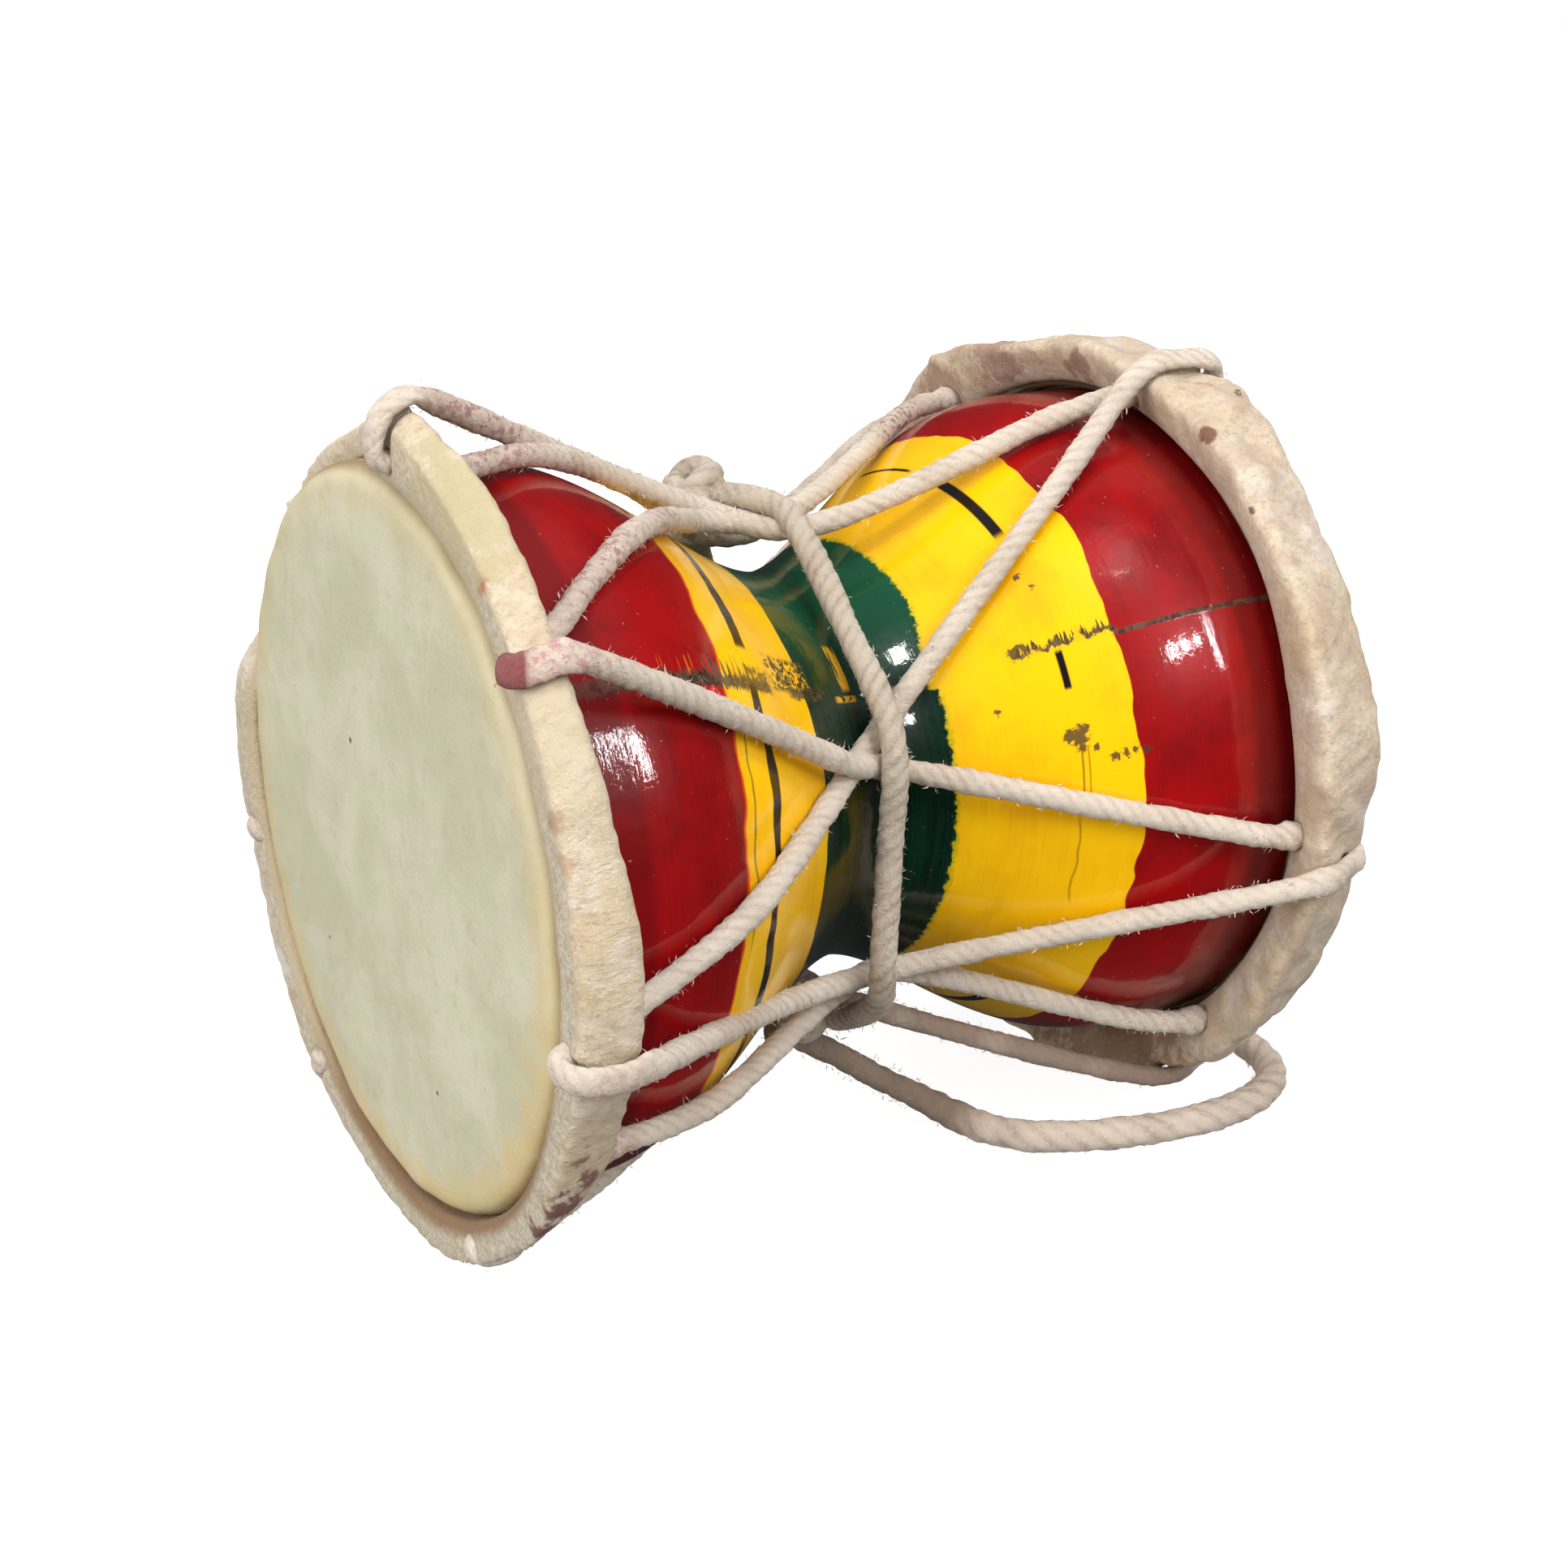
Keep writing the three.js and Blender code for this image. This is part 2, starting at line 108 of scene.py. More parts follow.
class Wiring:
    """Adds nodes to one tree. Sockets are joined, and plain values set on the input itself."""

    def __init__(self, tree):
        self.tree = tree

    def add(self, kind, inputs=None, **settings):
        node = self.tree.nodes.new(kind)
        for name, value in settings.items():
            setattr(node, name, value)
        for key, value in (inputs or {}).items():
            if isinstance(value, bpy.types.NodeSocket):
                self.tree.links.new(value, node.inputs[key])
            else:
                node.inputs[key].default_value = value
        return node

    def join(self, value, socket):
        self.tree.links.new(value, socket)

    def math(self, operation, *values, clamp=False):
        inputs = dict(enumerate(values))
        return self.add("ShaderNodeMath", inputs, operation=operation, use_clamp=clamp).outputs[0]

    def vector(self, operation, *values):
        return self.add("ShaderNodeVectorMath", dict(enumerate(values)), operation=operation).outputs[0]

    def fade(self, value, start, end, low=0.0, high=1.0):
        inputs = {"Value": value, "From Min": start, "From Max": end, "To Min": low, "To Max": high}
        return self.add("ShaderNodeMapRange", inputs, interpolation_type="SMOOTHSTEP").outputs[0]

    def band(self, value, low, high, soft):
        rise = self.fade(value, low - soft, low + soft)
        return self.math("MULTIPLY", rise, self.fade(value, high - soft, high + soft, 1.0, 0.0))

    def noise(self, vector, scale, detail=3.0, roughness=0.5, distortion=0.0):
        inputs = {"Vector": vector, "Scale": scale, "Detail": detail}
        inputs |= {"Roughness": roughness, "Distortion": distortion}
        return self.add("ShaderNodeTexNoise", inputs).outputs["Fac"]

    def distance(self, point, centre):
        inputs = {0: point, 1: centre}
        return self.add("ShaderNodeVectorMath", inputs, operation="DISTANCE").outputs["Value"]

    def mix(self, mask, below, above):
        """One colour over another. A colour is a socket or three numbers."""
        below, above = (c if isinstance(c, bpy.types.NodeSocket) else (*c, 1) for c in (below, above))
        return self.add("ShaderNodeMix", {0: mask, 6: below, 7: above}, data_type="RGBA").outputs[2]

    def bump(self, height, distance, strength):
        inputs = {"Height": height, "Distance": distance, "Strength": strength}
        return self.add("ShaderNodeBump", inputs).outputs[0]

    def call(self, group, **inputs):
        return self.add("ShaderNodeGroup", inputs, node_tree=group).outputs


def linear(*levels):
    """The linear colour of red, green and blue levels from 0 to 255."""
    return tuple(((v / 255 + 0.055) / 1.055) ** 2.4 if v > 10 else v / 255 / 12.92 for v in levels)


def node_group(name, inputs, outputs):
    """An empty shader node group with sockets of the given kinds, and its wiring."""
    group = bpy.data.node_groups.new(name, "ShaderNodeTree")
    for way, sockets in (("INPUT", inputs), ("OUTPUT", outputs)):
        for key, kind in sockets.items():
            group.interface.new_socket(key, in_out=way, socket_type="NodeSocket" + kind)
    wires = Wiring(group)
    return group, wires, wires.add("NodeGroupInput").outputs, wires.add("NodeGroupOutput").inputs


def new_material(name, **settings):
    """A material, its wiring and its shader, with plain values set on the shader's inputs."""
    material = bpy.data.materials.new(name)
    material.use_nodes = True
    shader = material.node_tree.nodes["Principled BSDF"]
    for key, value in settings.items():
        shader.inputs[key.replace("_", " ")].default_value = value
    return material, Wiring(material.node_tree), shader


# Place on the drum, for every material: along in mm, angle round the axis in degrees, radius.
drum_place, w, taken, given = node_group(
    "drum_place", {}, {"Point": "Vector", "Along": "Float", "Angle": "Float", "Radius": "Float"},
)
coords = w.add("ShaderNodeTexCoord").outputs["Object"]
point = w.vector("MULTIPLY", w.vector("SUBTRACT", coords, middle), (1000, 1000, 1000))
split = w.add("ShaderNodeSeparateXYZ", {0: point}).outputs
turn = w.math("ARCTAN2", w.math("MULTIPLY", split[1], -1.0), split[2])
squares = [w.math("MULTIPLY", part, part) for part in (split[1], split[2])]
w.join(point, given["Point"])
w.join(split[0], given["Along"])
w.join(w.math("MULTIPLY", turn, 180 / math.pi), given["Angle"])
w.join(w.math("SQRT", w.math("ADD", *squares)), given["Radius"])


def wood_radius(x):
    t = min(abs(x) / 29.5, 1)
    return 18.2 + 13.4 * math.sin(math.pi / 2 * t**1.06) ** 1.62


wood_mesh = bmesh.new()
lip = ((38.7, 30.0), (38.2, 31.0), (37.4, 31.55))
left_lip, right_lip = ([(side * x, radius) for x, radius in lip] for side in (-1, 1))
outside = [(x * 0.9, wood_radius(x * 0.9)) for x in range(-41, 42)]
bore = [(38.7, 27.8), (24, 23.4), (8, 8.5), (-8, 8.5), (-24, 23.4), (-38.7, 27.8)]
profile = left_lip + outside + right_lip[::-1] + bore
rim = [wood_mesh.verts.new(at(x, 0, radius)) for x, radius in profile]
edges = [wood_mesh.edges.new((a, b)) for a, b in zip(rim, rim[1:] + rim[:1])]
bmesh.ops.spin(
    wood_mesh, geom=rim + edges, cent=middle, axis=(1, 0, 0), dvec=(0, 0, 0),
    angle=2 * math.pi, steps=200, use_merge=True,
)
for face in wood_mesh.faces:
    face.smooth = True

red, deep_red, yellow = linear(158, 6, 9), linear(96, 4, 8), linear(250, 192, 2)
amber, green, black = linear(214, 138, 4), linear(7, 46, 30), linear(22, 13, 12)
lacquer, w, shader = new_material("lacquered_wood", Specular_IOR_Level=0.12, Coat_Roughness=0.04)
place = w.call(drum_place)
along, angle = place["Along"], place["Angle"]
cosine = w.math("COSINE", w.math("MULTIPLY", angle, math.pi / 180))


def brush_noise(across, round_it, scale, detail, roughness):
    """Noise drawn out round the drum, the way the brush went."""
    spot = {0: w.math("MULTIPLY", along, across), 1: w.math("MULTIPLY", angle, round_it)}
    return w.noise(w.add("ShaderNodeCombineXYZ", spot).outputs[0], scale, detail, roughness)


def both(*masks):
    product = masks[0]
    for mask in masks[1:]:
        product = w.math("MULTIPLY", product, mask)
    return product


def either(*masks):
    most = masks[0]
    for mask in masks[1:]:
        most = w.math("MAXIMUM", most, mask)
    return most


# The near rings lean a little, as the hand held the brush: their place along the axis varies
lean = w.math("MULTIPLY", cosine, w.fade(w.math("MULTIPLY", along, -1.0), 6.0, 16.0, 0.6, 3.3))
leaned = w.math("SUBTRACT", along, w.math("MULTIPLY", lean, w.fade(along, -5.0, 0.0, 1.0, 0.0)))
wobble = w.noise(place["Point"], 0.16, 2.0)
ragged = w.noise(place["Point"], 1.5, 4.0, 0.75)
flecks = w.noise(place["Point"], 0.9, 3.0, 0.7, 1.5)
at_ring = w.math("ADD", leaned, w.fade(wobble, 0.3, 0.7, -0.35, 0.35))

streaks = brush_noise(1.6, 0.012, 2.2, 4.0, 0.65)
blotches = w.noise(place["Point"], 0.11, 3.0, 0.6)
shade = w.math("ADD", w.math("MULTIPLY", streaks, 0.35), blotches)
red_coat = w.mix(w.fade(shade, 0.5, 0.95, 0.0, 0.75), red, deep_red)
# Painted shade: the red darkens towards each end, in the shadow of the hoops
red_coat = w.mix(w.fade(w.math("ABSOLUTE", along), 29.5, 31.0, 0.0, 0.6), red_coat, deep_red)
yellow_coat = w.mix(w.fade(shade, 0.6, 0.95, 0.0, 0.45), yellow, amber)
shade = w.math("ADD", streaks, w.math("MULTIPLY", flecks, 0.4))
green_coat = w.mix(w.fade(shade, 0.55, 0.95), green, linear(4, 18, 14))
# Painted light: the green is lighter towards the top, where the light falls
green_coat = w.mix(w.fade(w.math("ABSOLUTE", angle), 60.0, 20.0, 0.0, 0.75), green_coat, linear(2, 84, 52))
color = w.mix(w.band(at_ring, -21.1, 19.7, 0.05), red_coat, yellow_coat)
color = w.mix(w.math("MULTIPLY", w.band(at_ring, -21.35, -21.05, 0.1), 0.75), color, linear(232, 84, 8))
# The green edge steps where the band closes on itself
step = w.fade(angle, 55.8, 57.2, 0.0, 0.7)
far_edge = w.math("ADD", w.fade(angle, 30.0, 56.0, 1.0, -0.5), step)
green_far = w.math("SUBTRACT", w.math("ADD", along, w.fade(ragged, 0.3, 0.7, -0.2, 0.2)), far_edge)
green_low = w.math("ADD", leaned, w.fade(wobble, 0.3, 0.7, -0.25, 0.25))
green_on = both(w.fade(green_low, -8.5, -8.35), w.fade(green_far, 5.62, 5.74, 1.0, 0.0))
color = w.mix(green_on, color, green_coat)
color = w.mix(both(w.band(green_far, 5.6, 5.95, 0.1), 0.5), color, linear(150, 160, 10))
# Yellow dragged into the green, and green into the yellow
dragged = brush_noise(2.6, 0.05, 1.0, 4.0, 0.7)
bits = both(w.band(along, -12.2, -7.0, 0.5), w.band(angle, 44.5, 52.6, 0.8))
color = w.mix(both(bits, w.fade(flecks, 0.44, 0.5)), color, linear(66, 60, 22))
crumbs = w.fade(w.noise(place["Point"], 1.3, 3.0, 0.7, 2.0), 0.56, 0.6)
color = w.mix(both(bits, crumbs), color, linear(242, 176, 8))
drawn = w.math("ADD", along, w.fade(dragged, 0.3, 0.7, -0.5, 0.5))
trail = both(w.band(drawn, -2.75, -1.9, 0.15), w.band(angle, 38.0, 51.5, 1.0))
pool = both(w.band(along, -3.8, -1.6, 0.3), w.band(angle, 53.2, 54.9, 0.4), w.fade(flecks, 0.42, 0.48))
color = w.mix(w.math("MULTIPLY", either(trail, pool), 0.9), color, linear(238, 176, 10))

brushed = w.fade(brush_noise(6.0, 0.04, 1.0, 2.0, 0.5), 0.2, 0.34)
unsmeared = w.math("SUBTRACT", 1.0, w.band(angle, 44.5, 52.3, 0.7))
thin_ring = both(w.band(at_ring, -20.15, -19.95, 0.07), w.band(angle, 60.0, 96.0, 6.0), 0.75)
color = w.mix(thin_ring, color, linear(40, 60, 30))
# The strokes of black: one ring on the near side, and four short ones on the far side
strokes = both(w.band(at_ring, -17.5, -16.3, 0.07), brushed, unsmeared)
for low, high, start, end, soft in (
    (14.8, 15.65, 7.0, 29.0, 1.2),
    (15.2, 15.5, -23.0, -4.0, 1.5),
    (14.9, 15.45, 56.6, 64.4, 0.5),
    (14.7, 15.6, 150.0, 168.0, 2.0),
):
    strokes = either(strokes, both(w.band(along, low, high, 0.08), w.band(angle, start, end, soft)))
# The smears where each band closes: teeth dragged up from a dark overlap
teeth = w.fade(brush_noise(2.9, 0.02, 1.0, 3.0, 0.6), 0.46, 0.66, 0.0, 4.6)
teeth = both(teeth, w.band(along, -21.0, -14.4, 0.4))
rough_angle = w.math("ADD", angle, w.fade(brush_noise(3.0, 0.3, 1.0, 3.0, 0.7), 0.3, 0.7, -0.7, 0.7))
overlap = both(
    w.fade(w.math("ADD", rough_angle, teeth), 50.9, 51.5), w.fade(rough_angle, 53.3, 53.9, 1.0, 0.0),
    w.band(along, -40.0, -12.6, 0.4), w.fade(along, -34.0, -27.0, 0.45, 0.95),
)
swirl = both(
    w.band(along, -15.6, -12.6, 0.35), w.band(rough_angle, 48.6, 53.6, 0.6),
    w.fade(flecks, 0.4, 0.5, 0.2, 0.9),
)
join = both(w.band(along, -10.0, -5.2, 0.6), w.band(rough_angle, 51.6, 54.2, 0.4), 0.85)
frayed = w.math("ADD", angle, w.fade(ragged, 0.3, 0.7, -0.15, 0.15))
far_join = both(w.band(frayed, 56.2, 57.1, 0.2), w.band(along, 19.5, 40.0, 0.4), 0.85)
far_teeth = w.fade(brush_noise(2.6, 0.03, 1.0, 3.0, 0.7), 0.42, 0.64, 0.0, 2.2)
far_smear = both(
    w.fade(w.math("ADD", rough_angle, far_teeth), 54.9, 55.5), w.fade(rough_angle, 55.7, 56.3, 1.0, 0.0),
    w.band(along, 11.9, 19.8, 0.3), w.fade(w.noise(place["Point"], 0.6, 2.0), 0.42, 0.5, 0.15, 0.95),
)
smears = either(overlap, swirl, join, far_join, far_smear)
color = w.mix(smears, color, w.mix(w.fade(flecks, 0.4, 0.6), linear(34, 34, 26), linear(84, 74, 58)))
# Orange threads of the yellow in the red above the overlap, and a bare red spot below it
threads = both(
    w.fade(brush_noise(4.2, 0.03, 1.0, 2.0, 0.6), 0.6, 0.66),
    w.band(along, -27.5, -21.2, 0.3), w.band(rough_angle, 48.6, 51.0, 0.5),
)
color = w.mix(w.math("MULTIPLY", threads, 0.8), color, linear(228, 110, 30))
bare = both(w.band(along, -22.3, -19.9, 0.3), w.band(rough_angle, 53.8, 55.6, 0.4))
color = w.mix(bare, color, w.mix(w.fade(flecks, 0.5, 0.6), linear(196, 10, 30), linear(226, 150, 150)))


def away_from(x, turned):
    """Distance on the drum from a spot of its outside."""
    return w.distance(place["Point"], round_at(x, wood_radius(x), turned))


# Blots of the dark overlap, and the thin brown lines below them
ragged_by = w.fade(ragged, 0.3, 0.7, -0.3, 0.3)
blots = []
for x, turned, size in (
    (14.7, 73.6, 0.45), (15.3, 74.1, 0.6), (15.6, 72.9, 0.45), (15.4, 76.0, 0.4), (16.4, 76.2, 0.28),
    (17.8, 78.3, 0.3), (18.6, 78.0, 0.3), (19.4, 77.4, 0.2), (20.2, 77.7, 0.22), (12.2, 54.3, 0.5),
    (12.9, 54.0, 0.4), (14.6, 39.2, 0.22), (15.2, 42.4, 0.16), (9.8, 66.0, 0.16),
):
    away = w.math("ADD", away_from(x, turned), ragged_by)
    blots.append(w.fade(away, size, size * 1.5, 0.88, 0.0))
blot = either(*blots)
color = w.mix(blot, color, linear(62, 50, 40))
pair = w.math("ADD", w.band(along, 15.3, 15.45, 0.08), w.band(along, 15.8, 15.9, 0.08))
lines = both(pair, w.band(angle, 76.0, 88.0, 1.0))
lines = either(lines, both(w.band(at_ring, 15.2, 15.35, 0.08), w.band(angle, 90.0, 109.0, 2.0), 0.8))
color = w.mix(w.math("MULTIPLY", lines, 0.8, clamp=True), color, linear(120, 66, 16))
color = w.mix(strokes, color, black)
# Pale specks: partly dust, partly painted highlight where tiny bumps catch the light
dust_and_glints = w.fade(w.noise(place["Point"], 2.2, 2.0, 0.5), 0.735, 0.76, 0.0, 0.5)
color = w.mix(dust_and_glints, color, linear(200, 150, 130))
w.join(color, shader.inputs["Base Color"])
marks = either(strokes, smears, blot)
w.join(w.fade(w.math("ADD", streaks, marks), 0.3, 1.2, 0.3, 0.5), shader.inputs["Roughness"])
# The coat is dull in one spot, where the photo has no glint of the window
w.join(w.fade(away_from(22.8, 39.3), 3.5, 6.0, 0.0, 0.8), shader.inputs["Coat Weight"])
swell = w.math("MULTIPLY", w.noise(place["Point"], 0.45, 3.0), 1.3)
grain = w.math("ADD", w.math("MULTIPLY", streaks, 0.25), swell)
grain = w.math("ADD", w.math("ADD", grain, w.math("MULTIPLY", marks, 0.25)), w.math("MULTIPLY", dust_and_glints, 0.6))
w.join(w.bump(grain, 0.00012, 0.4), shader.inputs["Normal"])
speckle = w.math("ADD", grain, w.math("MULTIPLY", w.noise(place["Point"], 2.4, 2.0, 0.6), 0.35))
w.join(w.bump(speckle, 0.0001, 0.24), shader.inputs["Coat Normal"])
finished("wooden_body_visual", wood_mesh, "lacquered_wood", lacquer, "wooden_body")


# Heads: a disc of scraped hide, wetted and pulled taut over each mouth. It has a slight sag, a
# rounded edge over the wood's rim, puckers near the hoop, and painted shade at its edges: golden, then
# brown.
hide_look, w, taken, given = node_group(
    "hide_look", {"Light": "Color", "Middle": "Color", "Dark": "Color", "Wrinkles": "Float"},
    {"Color": "Color", "Height": "Float"},
)
point = w.call(drum_place)["Point"]
clouds = w.noise(point, 0.09, 4.0, 0.6, 0.3)
mottle = w.noise(point, 0.55, 5.0, 0.7, 0.2)
pores = w.noise(point, 4.5, 3.0, 0.6)
cell_size = {"Vector": point, "Scale": 1.1, "Randomness": 1.0}
cells = w.add("ShaderNodeTexVoronoi", cell_size, feature="DISTANCE_TO_EDGE").outputs["Distance"]
color = w.mix(w.fade(clouds, 0.35, 0.65), taken["Middle"], taken["Light"])
color = w.mix(w.fade(mottle, 0.5, 0.75, 0.0, 0.45), color, taken["Dark"])
color = w.mix(w.fade(pores, 0.62, 0.74, 0.0, 0.35), color, taken["Dark"])
w.join(color, given["Color"])
wrinkles = w.math("MULTIPLY", mottle, w.math("MULTIPLY", taken["Wrinkles"], 1.6))
fine = w.math("ADD", w.math("MULTIPLY", pores, 0.35), wrinkles)
w.join(w.math("ADD", fine, w.math("MULTIPLY", w.fade(cells, 0.0, 0.25), 0.12)), given["Height"])

skin_material, w, shader = new_material(
    "head_hide", Roughness=0.52, Specular_IOR_Level=0.35, Subsurface_Weight=0.12,
    Subsurface_Radius=(0.0012, 0.0008, 0.0004), Subsurface_Scale=1.0,
)
place = w.call(drum_place)
look = w.call(
    hide_look, Light=(*linear(209, 204, 179), 1), Middle=(*linear(195, 190, 162), 1),
    Dark=(*linear(180, 173, 137), 1), Wrinkles=0.4,
)
# Painted shade: the hide turns golden towards its edge, most on the lower side
edge = w.math("ADD", place["Radius"], w.fade(w.noise(place["Point"], 0.25, 3.0), 0.3, 0.7, -1.1, 1.1))
turned = w.math("ABSOLUTE", w.math("SUBTRACT", w.math("ABSOLUTE", place["Angle"]), 150.0))
golden_shade = w.math("MULTIPLY", w.fade(edge, 27.0, 31.6), w.fade(turned, 20.0, 95.0, 0.7, 0.3))
color = w.mix(golden_shade, look["Color"], linear(214, 184, 122))
# Painted shade: dark brown where the hide bends down under the hoop
color = w.mix(w.fade(place["Radius"], 31.4, 32.4, 0.0, 0.75), color, linear(140, 104, 62))
# Painted shadow: the far head's skirt is dark where it shows between the wood and the hoop
skirt_shadow = w.mix(w.fade(place["Along"], 0.0, 1.0), color, linear(60, 36, 30))
color = w.mix(w.fade(place["Along"], 35.6, 36.4, 0.9, 0.0), color, skirt_shadow)
sweep = w.noise(w.vector("MULTIPLY", place["Point"], (1.0, 0.3, 1.0)), 0.35, 3.0, 0.6)
color = w.mix(w.fade(sweep, 0.48, 0.7, 0.0, 0.35), color, linear(196, 198, 158))
# Specks in the left head's hide
for *centre, size in ((-39.6, 6.4, 7.6, 0.4), (-39.6, 15.0, -14.0, 0.25), (-39.6, -9.0, -19.5, 0.3)):
    near = w.fade(w.distance(place["Point"], centre), size * 0.4, size, 0.85, 0.0)
    color = w.mix(near, color, linear(70, 50, 30))
w.join(color, shader.inputs["Base Color"])
w.join(w.bump(look["Height"], 0.00015, 0.5), shader.inputs["Normal"])

# The section of a head: its face, the bend over the wood's rim, and the skirt
flat, bend, bend_radius, edge_radius = 39.6, 37.6, 30.5, 2.0


def bent(radius, turn):
    return bend + radius * math.cos(turn), bend_radius + radius * math.sin(turn)


outer = [(flat - 0.15 * (1 - r / bend_radius), r) for r in [0.01] + [k * 0.75 for k in range(1, 41)]]
outer += [bent(edge_radius, math.pi / 2 * k / 8) for k in range(9)]
outer += [(36.6, 32.5), (35.6, 32.5), (34.6, 32.5)]
inner = [(34.6, 32.0), (bend, 32.0), bent(1.4, math.pi / 4), bent(1.4, 0), (flat - 0.75, 0.01)]
for side, name in ((-1, "left_head_skin"), (1, "right_head_skin")):
    mesh = bmesh.new()
    line = [mesh.verts.new(at(side * x, 0, radius)) for x, radius in outer + inner]
    edges = [mesh.edges.new((a, b)) for a, b in zip(line, line[1:])]
    bmesh.ops.spin(
        mesh, geom=line + edges, cent=middle, axis=(1, 0, 0), dvec=(0, 0, 0),
        angle=2 * math.pi, steps=240, use_merge=True,
    )
    bmesh.ops.remove_doubles(mesh, verts=mesh.verts, dist=0.00003)
    for vert in mesh.verts:
        x, y, z = (vert.co - middle) * 1000
        radius = math.hypot(y, z)
        if side * x > bend:
            angle = math.atan2(-y, z)
            pucker = max(0, (radius - 25) / 7.5) ** 2
            folds = noise.noise(Vector((math.cos(angle) * 7, math.sin(angle) * 7, radius * 0.06 + side)))
            swell = noise.noise(Vector((y * 0.06, z * 0.06, side * 3))) * 0.18 * min(1, (32.5 - radius) / 6)
            vert.co.x += side * (folds * pucker * 0.32 + swell - 0.12 * pucker) / 1000
    for face in mesh.faces:
        face.smooth = True
    finished(name + "_visual", mesh, "head_hide", skin_material, name)


# Hoops: a ring at each end with hide lapped round it, in pleats, wavy at both edges and stained.
# The lacing passes through the hide and presses grooves into it, so its way is found here.
def path_through(points, step, closed=False):
    """Evenly spaced points, in millimetres, on a smooth curve through the given ones."""
    count = len(points)
    spans = count if closed else count - 1
    dense = []
    for i in range(spans):
        b, c = points[i], points[(i + 1) % count]
        a = points[i - 1] if closed or i > 0 else b * 2 - c
        d = points[(i + 2) % count] if closed or i + 2 < count else c * 2 - b
        gaps = [max((q - p).length, 1e-4) ** 0.5 for p, q in ((a, b), (b, c), (c, d))]
        start = ((b - a) / gaps[0] - (c - a) / (gaps[0] + gaps[1]) + (c - b) / gaps[1]) * gaps[1]
        end = ((c - b) / gaps[1] - (d - b) / (gaps[1] + gaps[2]) + (d - c) / gaps[2]) * gaps[1]
        for k in range(20):
            t = k / 20
            dense.append(
                b * (2 * t**3 - 3 * t**2 + 1)
                + start * (t**3 - 2 * t**2 + t)
                + c * (3 * t**2 - 2 * t**3)
                + end * (t**3 - t**2)
            )
    dense.append(points[0].copy() if closed else points[-1].copy())
    total = sum((q - p).length for p, q in zip(dense, dense[1:]))
    pieces = max(3, round(total / step))
    even, walked, target = [dense[0]], 0.0, total / pieces
    for p, q in zip(dense, dense[1:]):
        length = (q - p).length
        while walked + length >= target - 1e-9 and len(even) < pieces + (0 if closed else 1):
            even.append(p.lerp(q, (target - walked) / max(length, 1e-9)))
            target = total / pieces * len(even)
        walked += length
    return even[:pieces] if closed else even


def bump_at(angle, centre, width, power=2):
    return math.exp(-abs(((angle - centre + 540) % 360 - 180) / width) ** power)


def left_hoop_shape(angle):
    a = math.radians(angle)
    wave = 0.28 * math.sin(5 * a + 1) + 0.22 * math.sin(11 * a + 2.1)
    low = bump_at(angle, 322, 38, 8)
    face_x = 39.7 - 3.4 * low + 0.15 * math.sin(7 * a)
    face_r = 36.75 + 0.25 * math.cos(a) + 0.9 * bump_at(angle, 12, 10) - 1.6 * low
    face_r += 0.9 * bump_at(angle, 236, 18) + 0.7 * bump_at(angle, 262, 18) + 0.4 * bump_at(angle, 210, 14)
    face_r += 0.6 * wave - 0.5 * bump_at(angle, 150, 16)
    back_x = 34.6 + 2.4 * math.cos(a) - 3.4 * low + 3.2 * bump_at(angle, 140, 20)
    back_x += 0.3 * math.sin(7 * a + 0.5)
    back_r = 37.1 + 1.6 * math.cos(a) + 1.9 * bump_at(angle, 180, 24) - 2.9 * low
    back_r += 0.6 * bump_at(angle, 250, 34) - 2.1 * bump_at(angle, 144, 19) + wave
    return face_x, face_r, back_x, back_r


def right_hoop_shape(angle):
    a = math.radians(angle)
    wave = 0.3 * math.sin(6 * a + 0.4) + 0.22 * math.sin(11 * a + 1.3)
    face_x = 39.7 + 0.15 * math.sin(6 * a + 1)
    back_x = 31.9 + 0.3 * math.sin(7 * a + 2)
    face_r = 36.1 + 1.8 * bump_at(angle, 29, 12) + 1.3 * bump_at(angle, 81, 8) + 0.3 * wave
    back_r = 37.7 - 0.4 * math.cos(2 * a) - 0.9 * bump_at(angle, 0, 22) + 0.9 * bump_at(angle, 82, 9)
    back_r += 1.2 * bump_at(angle, 327, 13) + wave
    return face_x, face_r, back_x, back_r


def hoop_section(shape):
    """Points round a hoop's section, from the head's skin over its face and its outside."""
    face_x, face_r, back_x, back_r = shape
    inner = 32.6
    return [
        (face_x - 1.5, inner), (face_x - 0.6, inner + 0.1), (face_x - 0.15, inner + 0.9),
        (face_x, face_r - 0.9), (face_x - 0.08, face_r - 0.25), (face_x - 0.4, face_r),
        ((face_x + back_x) / 2, (face_r + back_r) / 2 + 0.3), (back_x + 0.5, back_r),
        (back_x, back_r - 0.6), (back_x + 0.8, inner + 1.6), (back_x + 2.1, inner),
    ]


hoop_shapes = {-1: left_hoop_shape, 1: right_hoop_shape}
lace_radius = 1.15
